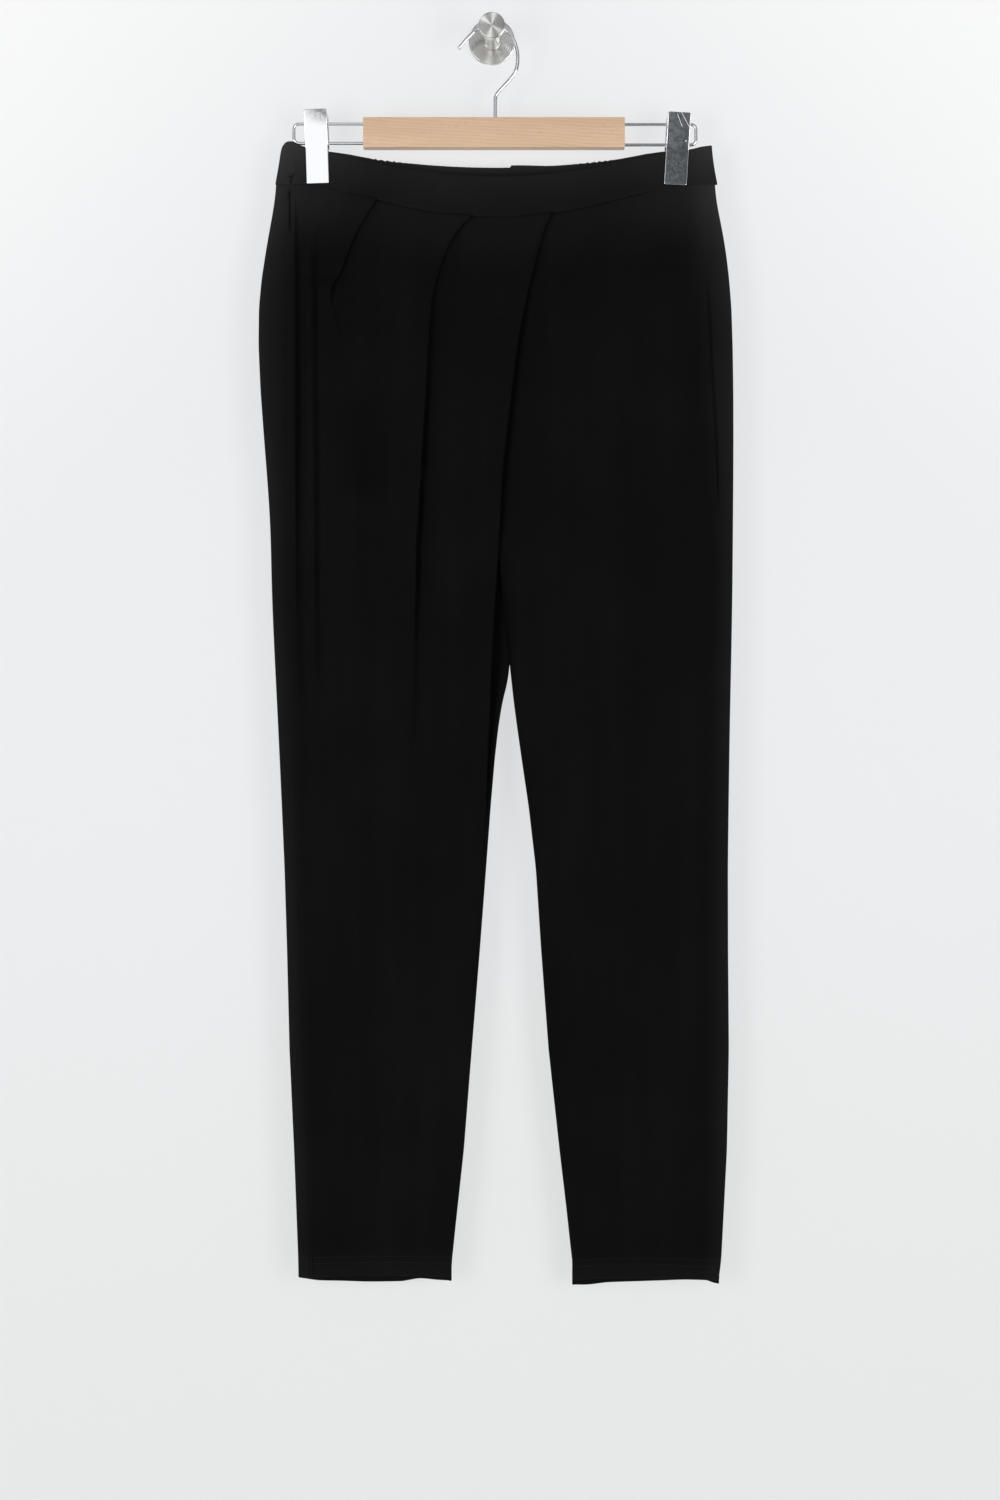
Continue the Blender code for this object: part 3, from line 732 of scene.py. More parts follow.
def unit(vectors: Array) -> Array:
    """Return the vectors of a grid at length 1."""
    return vectors / np.maximum(np.linalg.norm(vectors, axis=2, keepdims=True), 1e-12)


def grid_normals(points: Array) -> Array:
    """Return the unit normal at each point of a grid."""
    return unit(np.cross(np.gradient(points, axis=1), np.gradient(points, axis=0)))


def across_normals(points: Array) -> Array:
    """Return, for each point of a grid, the level direction square to its row."""
    return unit(np.cross(UP, np.gradient(points, axis=1)))


def close_between(bm: BMesh, first: Sequence[BMVert], second: Sequence[BMVert]) -> None:
    """Close the wall between two rings of points."""
    for pair, next_pair in zip(zip(first, second), zip(first[1:] + first[:1], second[1:] + second[:1])):
        bm.faces.new((pair[0], next_pair[0], next_pair[1], pair[1]))


def swept(name: str, path: Array, radius: float, material: Material, sides: int = 18,
          round_ends: bool = True) -> Object:
    """Make a round wire along a path that lies in a plane square to Y.

    Args:
        name: The piece's name.
        path: Points along the wire's middle.
        radius: The wire's radius.
        material: Its finish.
        sides: How many sides it has.
        round_ends: Whether its ends are domed.

    Returns:
        The wire.
    """
    along = np.gradient(path, axis=0)
    along /= np.linalg.norm(along, axis=1, keepdims=True)
    side = np.tile(np.array([0.0, 1.0, 0.0]), (len(path), 1))
    up = np.cross(side, along)
    centres, radii = list(path), [radius] * len(path)
    frames = list(zip(side, up))
    if round_ends:
        for share in (0.5, 0.85, 0.995):
            reach, width = radius * share, radius * math.sqrt(1 - share * share)
            centres.insert(0, path[0] - along[0] * reach)
            centres.append(path[-1] + along[-1] * reach)
            radii.insert(0, width)
            radii.append(width)
            frames.insert(0, (side[0], up[0]))
            frames.append((side[-1], up[-1]))
    bm = bmesh.new()
    rings = []
    for centre, width, (a, b) in zip(centres, radii, frames):
        turns = [2 * math.pi * i / sides for i in range(sides)]
        rings.append([bm.verts.new(centre + width * (a * math.cos(t) + b * math.sin(t))) for t in turns])
    for first, second in zip(rings, rings[1:]):
        close_between(bm, first, second)
    bm.faces.new(rings[0])
    bm.faces.new(rings[-1])
    return finish_bmesh(bm, name, material, 50)


def turned(name: str, profile: Sequence[Place], material: Material, sides: int = 96) -> Object:
    """Turn a profile about the wall hook's axis.

    Args:
        name: The piece's name.
        profile: Its (radius, distance from the wall) points.
        material: Its finish.
        sides: How many sides it has.

    Returns:
        The piece.
    """
    bm = bmesh.new()
    points = [bm.verts.new((radius, -reach, 0.0)) for radius, reach in profile]
    edges = [bm.edges.new(pair) for pair in zip(points, points[1:])]
    bmesh.ops.spin(bm, geom=points + edges, cent=(0, 0, 0), axis=(0, 1, 0), angle=2 * math.pi,
                   steps=sides, use_merge=True)
    bmesh.ops.remove_doubles(bm, verts=bm.verts, dist=MERGE_DISTANCE)
    return finish_bmesh(bm, name, material, 32)


def rounded(corners: Sequence[Place], radii: Sequence[float], steps: int = 5) -> list[Place]:
    """Round the inner corners of a profile.

    Args:
        corners: The profile's points.
        radii: How much of each side of a corner its round takes, one for each point.
        steps: How many points each round has.

    Returns:
        The profile's points, with each round as a short curve.
    """
    points = [Vector(corner) for corner in corners]
    made = [tuple(points[0])]
    for before, corner, after, radius in zip(points, points[1:], points[2:], radii[1:-1]):
        if not radius:
            made.append(tuple(corner))
            continue
        start = corner + (before - corner).normalized() * radius
        end = corner + (after - corner).normalized() * radius
        for i in range(steps + 1):
            t = i / steps
            made.append(tuple(start * (1 - t) ** 2 + corner * 2 * t * (1 - t) + end * t * t))
    made.append(tuple(points[-1]))
    return made


# ---- Geometry Nodes -------------------------------------------------------------------------------

class Generator(Nodes):
    """A Geometry Nodes tree with named inputs, whose result is baked to a plain mesh."""

    def __init__(self, name: str, sizes: dict[str, float]) -> None:
        """Start the tree.

        Args:
            name: The tree's name.
            sizes: Name and value of each of its number inputs.
        """
        tree = bpy.data.node_groups.new(name, "GeometryNodeTree")
        super().__init__(tree)
        for way in ("INPUT", "OUTPUT"):
            tree.interface.new_socket("Geometry", in_out=way, socket_type="NodeSocketGeometry")
        self.values = {}
        for label, value in sizes.items():
            socket = tree.interface.new_socket(label, in_out="INPUT", socket_type="NodeSocketFloat")
            self.values[socket.identifier] = value
        self.given = self.add("NodeGroupInput").outputs

    def end(self, geometry: bpy.types.Node, material: Material) -> None:
        """Realize what the tree made, give it its material and put it out."""
        real = self.add("GeometryNodeRealizeInstances", inputs={"Geometry": geometry})
        smooth = self.add("GeometryNodeSetShadeSmooth", inputs={"Geometry": real})
        dressed = self.add("GeometryNodeSetMaterial", inputs={"Geometry": smooth, "Material": material})
        self.add("NodeGroupOutput", inputs={0: dressed})

    def bake(self, name: str, guide: Mesh, material: Material) -> Object:
        """Run the tree on a guide mesh and keep only the plain mesh that it makes.

        Args:
            name: The piece's name.
            guide: The mesh that the tree starts from.
            material: The piece's finish.

        Returns:
            The piece.
        """
        carrier = bpy.data.objects.new(name + "_guide", guide)
        bpy.context.scene.collection.objects.link(carrier)
        modifier = carrier.modifiers.new("generator", "NODES")
        modifier.node_group = self.tree
        for identifier, value in self.values.items():
            modifier[identifier] = value
        graph = bpy.context.evaluated_depsgraph_get()
        mesh = bpy.data.meshes.new_from_object(carrier.evaluated_get(graph), depsgraph=graph)
        mesh.name = name
        bpy.data.objects.remove(carrier)
        return add_object(name, mesh, material)


def line_guide(name: str, lines: Sequence[Array]) -> Mesh:
    """Return a mesh of bare edges along lines of points."""
    guide = bpy.data.meshes.new(name)
    places, edges = [], []
    for line in lines:
        first = len(places)
        places += np.array(line).tolist()
        edges += [(i, i + 1) for i in range(first, len(places) - 1)]
    guide.from_pydata(places, edges, [])
    return guide


@dataclass(frozen=True)
class StitchRow:
    """A row of machine stitches along a line on the cloth."""

    pitch: float = 0.0029
    length: float = 0.0024
    thread: float = 0.0003

    def build(self, name: str, lines: Sequence[Array], material: Material) -> Object:
        """Sew stitches along lines.

        Args:
            name: The piece's name.
            lines: Points of each line, on the cloth's surface.
            material: The thread's finish.

        Returns:
            All the stitches as one mesh.
        """
        sizes = {"Pitch": self.pitch, "Stitch Length": self.length, "Thread Radius": self.thread}
        tree = Generator("stitch_row", sizes)
        given = tree.given
        curve = tree.add("GeometryNodeMeshToCurve", inputs={0: given["Geometry"]})
        spaced = {"Curve": curve, "Length": given["Pitch"]}
        points = tree.add("GeometryNodeCurveToPoints", {"mode": "LENGTH"}, spaced)
        ball = tree.add("GeometryNodeMeshUVSphere", inputs={"Segments": 6, "Rings": 5, "Radius": 1.0})
        half, thread = Value(tree, given["Stitch Length"]) * 0.5, given["Thread Radius"]
        size = tree.add("ShaderNodeCombineXYZ", inputs={0: half, 1: thread, 2: thread})
        along = {"Vector": points.outputs["Tangent"]}
        turn = tree.add("FunctionNodeAlignRotationToVector", {"axis": "X"}, along)
        placed = {"Points": points, "Instance": ball, "Rotation": turn, "Scale": size}
        tree.end(tree.add("GeometryNodeInstanceOnPoints", inputs=placed), material)
        return tree.bake(name, line_guide(name + "_line", lines), material)


@dataclass(frozen=True)
class SpringCoil:
    """A close coil of wire with two straight legs, which pushes a clip's levers apart."""

    wire: float = 0.00055
    radius: float = 0.0026
    turns: float = 9.0

    def build(self, name: str, centre: Vector, length: float, legs: Sequence[Vector],
              material: Material) -> Object:
        """Wind the coil about a line along X.

        Args:
            name: The piece's name.
            centre: The middle of the coil.
            length: How long the coil is.
            legs: Where the two legs end.
            material: The wire's finish.

        Returns:
            The coil and its legs as one mesh.
        """
        tree = Generator("spring_coil", {
            "Turns": self.turns, "Coil Radius": self.radius, "Coil Length": length, "Wire Radius": self.wire,
        })
        given = tree.given
        spiral = tree.add("GeometryNodeCurveSpiral", inputs={
            "Resolution": 20, "Rotations": given["Turns"], "Start Radius": given["Coil Radius"],
            "End Radius": given["Coil Radius"], "Height": given["Coil Length"],
        })
        laid = tree.add("GeometryNodeTransform", inputs={
            "Geometry": spiral, "Rotation": (0.0, math.pi / 2, 0.0),
            "Translation": (centre.x - length / 2, centre.y, centre.z),
        })
        legs_curve = tree.add("GeometryNodeMeshToCurve", inputs={0: given["Geometry"]})
        joined = tree.add("GeometryNodeJoinGeometry")
        for part in (laid, legs_curve):
            tree.tree.links.new(part.outputs[0], joined.inputs[0])
        round_wire = {"Resolution": 8, "Radius": given["Wire Radius"]}
        ring = tree.add("GeometryNodeCurvePrimitiveCircle", {"mode": "RADIUS"}, round_wire)
        tube = {"Curve": joined, "Profile Curve": ring, "Fill Caps": True}
        tree.end(tree.add("GeometryNodeCurveToMesh", inputs=tube), material)
        lines = []
        for sign, end in zip((-1, 1), legs):
            start = Vector((centre.x + sign * (length / 2 - self.wire), end.y * 0.35 + centre.y * 0.65,
                            centre.z + self.radius * 0.9))
            lines.append((start, end))
        return tree.bake(name, line_guide(name + "_legs", lines), material)


# ---- The garment's form ---------------------------------------------------------------------------

@dataclass(frozen=True)
class SoftFold:
    """A soft trough (a negative lift) or ridge in the cloth, along a line of (drop, X) points; in the shade
    tables it paints shade where negative and sheen where positive.
    """

    line: tuple[Place, ...]
    lift: float
    half_width: float
    fade: float = 0.05

    def height(self, x: Array, drop: Array) -> Array:
        """Return how far the fold lifts the cloth, or, in a shade table, how much painted light it adds.

        Args:
            x: Places across the garment.
            drop: Their drops.

        Returns:
            The lift at each place.
        """
        first, last = self.line[0][0], self.line[-1][0]
        middle = curve_through(self.line)(drop)
        shown = rise(drop, first, first + self.fade) * fall(drop, last - self.fade, last)
        return self.lift * shown * np.exp(-np.abs((x - middle) / self.half_width) ** 1.7)


@dataclass(frozen=True)
class KnifePleat:
    """A pleat pressed to one side: its folded edge lies on a line, over a layer that runs back under it.

    The section turns under by the turn, runs back by the overlap and turns again. As the pleat opens
    towards its lower end the turn falls to nothing, and the pleat ends in flat cloth.
    """

    edge: tuple[Place, ...]
    overlap: tuple[Place, ...]
    turn: tuple[Place, ...]
    bend: tuple[Place, ...]
    reach: float = 0.045
    bend_steps: int = 7
    run_steps: int = 6

    def section(self, level: Array, edge: Array) -> tuple[Array, Array]:
        """Return the places and heights of the pleat's points, from the upper layer to the lower one.

        Args:
            level: A drop for each row.
            edge: Where the folded edge lies in each row.

        Returns:
            X and height, as rows by points. The last height is 0.
        """
        overlap = curve_through(self.overlap)(level)[:, None]
        turn = np.radians(curve_through(self.turn)(level))[:, None]
        bend = curve_through(self.bend)(level)[:, None]
        return fold_path(edge[:, None], overlap, turn, bend, self.bend_steps, self.run_steps)


def fold_path(edge: Array, overlap: Array, turn: Array, bend: Array, bend_steps: int,
              run_steps: int) -> tuple[Array, Array]:
    """Return the section of a fold: a turn, a straight run and a turn back.

    Args:
        edge: Where the folded edge lies.
        overlap: Length of the straight run.
        turn: How far the cloth turns, in radians.
        bend: Length of cloth in each turn.
        bend_steps: Points in each turn.
        run_steps: Points in the straight run.

    Returns:
        X and height of the points, as rows by points. The last height is 0.
    """
    turn = np.maximum(turn, 0.001)
    radius = bend / turn
    share = np.linspace(0, 1, bend_steps + 1)
    first = turn * share
    x_first, h_first = radius * np.sin(first), -radius * (1 - np.cos(first))
    along = np.linspace(0, 1, run_steps + 1)[1:]
    x_run = x_first[:, -1:] + overlap * np.cos(turn) * along
    h_run = h_first[:, -1:] - overlap * np.sin(turn) * along
    last = turn * (1 - share[1:])
    x_last = x_run[:, -1:] + radius * (np.sin(turn) - np.sin(last))
    h_last = h_run[:, -1:] - radius * (np.cos(last) - np.cos(turn))
    x = np.concatenate([x_first, x_run, x_last], axis=1)
    height = np.concatenate([h_first, h_run, h_last], axis=1)
    back = radius * np.sin(np.minimum(turn, math.pi / 2)) + 0.5 * overlap * np.maximum(np.cos(turn), 0)
    return edge + x - back, height - height[:, -1:]


SIDE_TUCK = KnifePleat(
    edge=mm(128, -178, 145, -177, 180, -176.5, 265, -175.5, 460, -175, 640, -172, 1125, -156),
    overlap=mm(134, 0.6, 200, 1.4, 340, 1.8, 430, 1.2, 520, 1, 640, 4),
    turn=((0.134, 20), (0.16, 60), (0.2, 80), (0.35, 80), (0.43, 66), (0.5, 42), (0.6, 16), (0.72, 0),
          (0.76, 0)),
    bend=mm(134, 2.2, 200, 3.6, 340, 4.2, 480, 3.6, 640, 4),
    reach=0.0125,
)
SIDE_PLEAT = KnifePleat(
    edge=mm(134, -93, 150, -103, 170, -116, 185, -124, 203, -131, 219, -137, 228, -143, 236, -144,
            250, -141, 280, -135, 360, -133, 508, -134, 823, -130, 1125, -131),
    overlap=mm(134, 16, 195, 9, 226, 2.4, 250, 1.5, 300, 3, 420, 10),
    turn=((0.134, 180), (0.218, 180), (0.23, 110), (0.244, 40), (0.285, 20), (0.33, 8), (0.4, 0), (0.45, 0)),
    bend=mm(134, 1.9, 190, 2.4, 225, 2.4, 260, 1.8, 400, 6),
)
MIDDLE_PLEAT = KnifePleat(
    edge=mm(134, -2, 165, -18, 173, -26, 184, -34, 200, -42, 220, -48.5, 240, -53, 261, -55, 325, -58.5,
            376, -62, 425, -64.5, 460, -67, 492, -67.5, 700, -74, 1125, -93),
    overlap=mm(134, 18, 250, 16, 380, 9, 450, 4, 500, 1.8, 600, 5, 760, 14),
    turn=((0.134, 180), (0.455, 180), (0.48, 140), (0.505, 75), (0.54, 34), (0.6, 18), (0.68, 7), (0.76, 0),
          (0.8, 0)),
    bend=mm(134, 1.9, 200, 2.3, 260, 3.8, 340, 5.2, 430, 5, 500, 3.2, 600, 3, 760, 6),
)
LAP_EDGE = mm(134, 68, 161, 54.5, 180, 46, 210, 38, 237, 31.5, 283, 23, 323, 18, 360, 13.5, 392, 10,
              460, 6.3, 517, 2.5, 564, 0, 612, -2, 643, -3.8, 688, -5.8, 720, -7.2, 760, -10)
LAP_BEND = mm(134, 1.9, 200, 2.3, 270, 3.8, 350, 5, 440, 5.6)


@dataclass(frozen=True)
class FoldShade:
    """Painted shade on the lower side of a fold's edge."""

    edge: tuple[Place, ...]
    strength: tuple[Place, ...]
    narrow: float = 0.0034
    wide: float = 0.026
    broad_share: float = 0.3

    def height(self, x: Array, drop: Array) -> Array:
        """Return the painted shade, as a change of the painted light.

        Args:
            x: Places across the garment.
            drop: Their drops.

        Returns:
            The change at each place, 0 or less.
        """
        away = x - curve_through(self.edge)(drop)
        close = fall(away, self.narrow * 0.6, self.narrow * 1.5)
        broad = self.broad_share * fall(away, self.narrow, self.wide)
        beside = rise(away, -0.0012, 0.0)
        return -curve_through(self.strength)(drop) * beside * np.maximum(close, broad)


def shaded(lifted: Array, shades: Sequence[Union[SoftFold, FoldShade]], x: Array, drop: Array) -> Array:
    """Paint shade beside folds over the painted sheen.

    Args:
        lifted: The painted sheen without the folds, 0 or more.
        shades: The folds that paint shade and sheen on it.
        x: Places across the garment.
        drop: Their drops.

    Returns:
        The painted light: from -1, full painted shade, through 0 to well above 1, strong painted sheen.
    """
    # Sum of the folds' painted light: shade below 0, sheen above 0.
    pressed = np.clip(sum(shade.height(x, drop) for shade in shades), -1, 1)
    return lifted * (1 + pressed) + pressed


# Painted shade beside fold edges, and painted sheen from positive SoftFold entries, laid on the cloth's
# painted light.
LAP_SHADE = FoldShade(LAP_EDGE, ((0.134, 0.3), (0.2, 0.45), (0.29, 0.8), (0.56, 0.8), (0.64, 0.5), (0.7, 0)))
RIGHT_FRONT_SHADES = (
    FoldShade(SIDE_TUCK.edge, ((0.134, 0), (0.18, 0.08), (0.25, 0.3), (0.33, 0.5), (0.45, 0.5), (0.64, 0)),
              0.005, 0.012),
    FoldShade(SIDE_PLEAT.edge, ((0.134, 0.45), (0.225, 0.45), (0.24, 0.1), (0.27, 0)), 0.0014, 0.012),
    FoldShade(MIDDLE_PLEAT.edge, ((0.134, 0.35), (0.21, 0.5), (0.29, 0.95), (0.48, 1.0), (0.56, 0.5),
                                  (0.68, 0))),
    LAP_SHADE,
    SoftFold(mm(135, -181.6, 160, -181.5, 182, -181.2), -0.9, 0.0008, 0.01),
    SoftFold(mm(180, -159, 300, -158, 530, -156.5), -0.38, 0.0022, 0.05),
    SoftFold(mm(316, -118, 372, -115, 430, -111), -0.36, 0.0215, 0.03),
    SoftFold(mm(170, -164, 340, -164, 500, -164), 0.12, 0.003, 0.06),
)
LEFT_CREASE = mm(214, 193.5, 300, 197.5, 380, 202, 440, 203.5)
LEFT_FRONT_SHADES = (LAP_SHADE, SoftFold(LEFT_CREASE, -0.45, 0.0011, 0.04))
# Painted shade in a small V pucker and a thin crease near the band's right end.
BAND_SHADES = (
    SoftFold(mm(124, -183.4, 127, -181.6, 130, -180.3), -1.0, 0.0007, 0.002),
    SoftFold(mm(124, -176.6, 127, -179, 130, -180.2), -1.0, 0.0007, 0.002),
    SoftFold(mm(128.5, -180.4, 132, -180.6, 137, -180.8), -0.9, 0.0008, 0.002),
)

RIGHT_FRONT_FOLDS = (
    SoftFold(mm(128, -184.2, 160, -183.2, 200, -183), 0.0011, 0.0028, 0.012),
    SoftFold(mm(130, -174.2, 160, -172.2, 240, -169, 420, -167.2, 640, -164), 0.0019, 0.0036, 0.02),
    SoftFold(mm(165, -160.6, 220, -159, 300, -158, 400, -157.2, 600, -155.6), -0.0034, 0.0021, 0.05),
    SoftFold(mm(200, -166.8, 300, -166, 420, -165.2), -0.001, 0.0014, 0.05),
    SoftFold(mm(150, -151, 300, -151.5, 480, -149), 0.0012, 0.0042, 0.06),
    SoftFold(mm(146, -150, 160, -154.5, 180, -160, 220, -162.5), -0.0013, 0.0022, 0.02),
    SoftFold(mm(400, -118, 500, -112, 640, -109), -0.0016, 0.01, 0.09),
    SoftFold(mm(300, -102, 400, -100, 500, -98), 0.0016, 0.014, 0.08),
    SoftFold(mm(380, -37, 470, -40, 600, -42), -0.0016, 0.009, 0.09),
    SoftFold(mm(520, -60, 640, -58, 780, -54), -0.002, 0.007, 0.1),
    SoftFold(mm(520, -30, 650, -33, 800, -40), 0.0014, 0.011, 0.1),
    SoftFold(mm(600, -126, 720, -123, 860, -124), -0.0014, 0.01, 0.1),
    SoftFold(mm(760, -90, 860, -96, 980, -93), -0.0012, 0.012, 0.09),
    SoftFold(mm(900, -146, 1000, -148, 1090, -150), 0.0009, 0.008, 0.07),
)
LEFT_FRONT_FOLDS = (
    SoftFold(LEFT_CREASE, -0.002, 0.0011, 0.04),
    SoftFold(mm(200, 187.8, 260, 188.5, 330, 189.2), -0.0012, 0.0012, 0.03),
    SoftFold(mm(214, 196.5, 300, 200.8, 420, 206), 0.0008, 0.0018, 0.04),
    SoftFold(mm(430, 80, 520, 85, 640, 90, 760, 94), -0.002, 0.009, 0.1),
    SoftFold(mm(440, 50, 560, 54, 700, 66), 0.0013, 0.012, 0.1),
    SoftFold(mm(400, 164, 470, 164, 560, 162), -0.0012, 0.008, 0.07),
    SoftFold(mm(160, 150, 200, 140, 260, 126), -0.0008, 0.011, 0.05),
    SoftFold(mm(640, 100, 760, 104, 900, 109), -0.0014, 0.01, 0.1),
    SoftFold(mm(840, 150, 940, 152, 1060, 150), 0.001, 0.013, 0.09),
)
RIGHT_BACK_FOLDS = (
    SoftFold(mm(150, -174, 240, -173, 420, -172, 560, -170), -0.003, 0.0045, 0.06),
    SoftFold(mm(400, -30, 470, -48, 560, -62), -0.0022, 0.01, 0.07),
    SoftFold(mm(430, -15, 500, -25, 600, -33), 0.0012, 0.008, 0.07),
    SoftFold(mm(240, -115, 360, -110, 500, -113), -0.0012, 0.012, 0.1),
    SoftFold(mm(640, -90, 760, -86, 900, -90), -0.0014, 0.011, 0.1),
    SoftFold(mm(860, -130, 960, -134, 1070, -138), 0.0008, 0.01, 0.09),
)
LEFT_BACK_FOLDS = (
    SoftFold(mm(160, 186, 260, 190, 440, 188, 600, 185), -0.0018, 0.005, 0.07),
    SoftFold(mm(400, 38, 480, 56, 570, 70), -0.002, 0.011, 0.07),
    SoftFold(mm(440, 25, 520, 36, 620, 46), 0.0011, 0.009, 0.07),
    SoftFold(mm(230, 125, 350, 121, 470, 124), -0.0011, 0.013, 0.09),
    SoftFold(mm(620, 120, 740, 117, 880, 122), -0.0013, 0.012, 0.1),
    SoftFold(mm(840, 160, 940, 158, 1040, 160), 0.0008, 0.011, 0.09),
)


FORM_DEPTH = mm(96, 9.5, 106, 9.5, 134, 10.5, 150, 11.5, 166, 12.5, 184, 14, 238, 16.5, 290, 18, 350, 18.5,
                436, 18, 508, 16.5, 643, 14.5, 778, 12.5, 913, 11.5, 1003, 11, 1125, 10.5)
BAND_SIDES = {
    Side.RIGHT: mm(95.5, -183.8, 96.5, -185.5, 98.5, -187.5, 103, -189.5, 118, -192, 132, -194.5, 135, -195),
    Side.LEFT: mm(99, 198, 103, 198.2, 118, 200, 134.5, 203),
}
BAND_END_TOPS = {
    Side.RIGHT: mm(-188.6, 100.3, -187, 97.8, -185, 96.1, -182, 95.7, -178.5, 95.9, -176, 97.5, -169, 100.5,
                   -164, 102),
    Side.LEFT: mm(174, 103.4, 178, 103, 183, 102, 187.5, 100.8, 193, 100, 198, 99.3),
}


def seam_places(count: int, reach: float) -> Array:
    """Return distances from a flat seam, close together where the cloth turns in."""
    return reach * np.linspace(0, 1, count) ** 1.9


def edge_round(away: Array) -> Array:
    """Return how full the form is beside an edge: 0 on the edge, and 1 beyond its round."""
    return np.sqrt(np.clip(1 - (1 - np.clip(away / EDGE_ROUND, 0, 1)) ** 2, 0, 1))


@dataclass
class Form:
    """The smooth form of the hanging garment: two flattened tubes, pinched under the clips."""

    cloth: float = 0.001
    edge_inset: float = 0.0001
    band_swell: float = 0.0005
    dome_power: float = 0.3
    side_drop: float = 0.1345
    sag_fade: float = 0.125
    crotch_top: float = 0.44
    crotch: float = 0.505
    gap_top: float = 0.567
    hem_dip_from: float = 1.003
    grip_flat: float = 0.0145
    grip_ramp: float = 0.045
    grip_clear: float = 0.004
    grip_fade: float = 0.11
    outline_pitch: float = 0.003
    band_cuts: int = 160
    cut_inset: float = 0.0004
    seam_width: float = 0.0022
    seam_depth: float = 0.0007

    def __post_init__(self) -> None:
        """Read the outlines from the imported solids."""
        low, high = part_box("hanger_bar")
        self.hang_y = (low.y + high.y) / 2
        self.clips, self.outer, self.inner, self.hem_drop = {}, {}, {}, {}
        for side in Side:
            name = side.label
            low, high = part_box(f"clip_{name}_front")
            self.clips[side] = ((low.x + high.x) / 2, -low.z)
            self.hem_drop[side] = -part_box(f"front_{name}_hem")[0].z
            leg = SolidOutline(f"front_{name}_panel", f"front_{name}_hem", "front_waistband")
            self.outer[side] = self.level_edge(leg, 0.11, self.hem_drop[side] - 0.002, side.value)
            back = SolidOutline(f"back_{name}_panel", f"back_{name}_hem")
            self.inner[side] = self.level_edge(back, 0.2, self.hem_drop[side] - 0.006, -side.value)
        self.centre_x = float(self.inner[Side.RIGHT](0.3) + self.inner[Side.LEFT](0.3)) / 2
        self.depth = curve_through(FORM_DEPTH)
        self.band_side = {side: curve_through(points) for side, points in BAND_SIDES.items()}
        self.band_low, self.band_high = {}, {}
        for facing in Facing:
            self.read_band(facing)

    def read_band(self, facing: Facing) -> None:
        """Read the lower and upper edge of a packed band, whose ends' tops are drawn finer."""
        band = SolidOutline(f"{facing.label}_waistband")
        low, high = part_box(f"{facing.label}_waistband")
        stations = np.linspace(low.x + self.cut_inset, high.x - self.cut_inset, self.band_cuts)
        self.band_low[facing] = SmoothCurve(stations, -band.edge(0, stations, 2, -1).values)
        tops = -band.edge(0, stations, 2, 1, 1).values
        for side, points in BAND_END_TOPS.items():
            end = curve_through(points)
            start = end.at[-1] if side is Side.RIGHT else end.at[0]
            tops = np.where((stations - start) * side.value > 0, end(stations), tops)
        self.band_high[facing] = SmoothCurve(stations, tops)

    def level_edge(self, solid: SolidOutline, start: float, end: float, sign: int) -> SmoothCurve:
        """Return the outline's X over the drops from start to end."""
        drops = np.arange(start, end, self.outline_pitch)
        read = solid.edge(2, -drops[::-1], 0, sign)
        return SmoothCurve(drops, read.values[::-1])

    def sag(self, x: Array, level: Array, facing: Facing) -> Array:
        """Return how much lower at x the row hangs that meets the side seams at a level."""
        sagging = np.maximum(self.band_low[facing](x) - self.side_drop, 0.0)
        return sagging * fall(level, self.side_drop, self.side_drop + self.sag_fade)

    def levelled(self, points: Sequence[Place], facing: Facing) -> SmoothCurve:
        """Return a line of (drop, X) points as a curve over the rows' levels."""
        drops, places = np.array(points, float).T
        levels = drops
        for _ in range(12):
            levels = drops - self.sag(places, levels, facing)
        return SmoothCurve(levels, places)

    def dome(self, x: Array, start: Array, end: Array) -> Array:
        """Return the height, from 0 at the ends to 1 in the middle, of a flattened tube's section."""
        u = (x - start) / (end - start)
        return np.maximum(4 * u * (1 - u), 0.0) ** self.dome_power

    def grip(self, x: Array, drop: Array) -> Array:
        """Return 1 where a clip presses front and back together, and 0 away from it."""
        held = np.zeros(np.broadcast(x, drop).shape)
        for place, bottom in self.clips.values():
            near = fall(np.abs(x - place), self.grip_flat, self.grip_flat + self.grip_ramp)
            end = bottom + self.grip_clear
            held = np.maximum(held, near * fall(drop, end, end + self.grip_fade))
        return held

    def middle_depth(self, x: Array, drop: Array, side: Side, floor: float) -> Array:
        """Return how far the middle of the cloth lies from the hanging plane.

        Args:
            x: Places across the garment.
            drop: Their drops.
            side: The leg that they belong to.
            floor: The least depth away from an edge.

        Returns:
            The depths, 0 at the garment's edges.
        """
        inset = self.edge_inset
        right, left = self.outer[Side.RIGHT](drop) + inset, self.outer[Side.LEFT](drop) - inset
        body = self.dome(x, right, left)
        seam = self.inner[side](drop) + side.value * inset
        start = right if side is Side.RIGHT else left
        leg = self.dome(x, start, seam)
        parted = rise(drop, self.crotch_top, self.crotch)
        shape = mix(body, leg, parted) * (1 - self.grip(x, drop))
        depth = (self.depth(drop) - self.cloth / 2) * shape
        near = np.abs(x - start)
        close = np.minimum(near, mix(np.full_like(near, 1.0), np.abs(x - seam), parted))
        return np.maximum(depth, floor * edge_round(close))

    def edge_places(self, count: int, reach: float) -> Array:
        """Return distances from a rounded edge at which the cloth's depth rises evenly."""
        return reach * np.linspace(0, 1, count) ** (1 / self.dome_power)


# ---- Panels ---------------------------------------------------------------------------------------

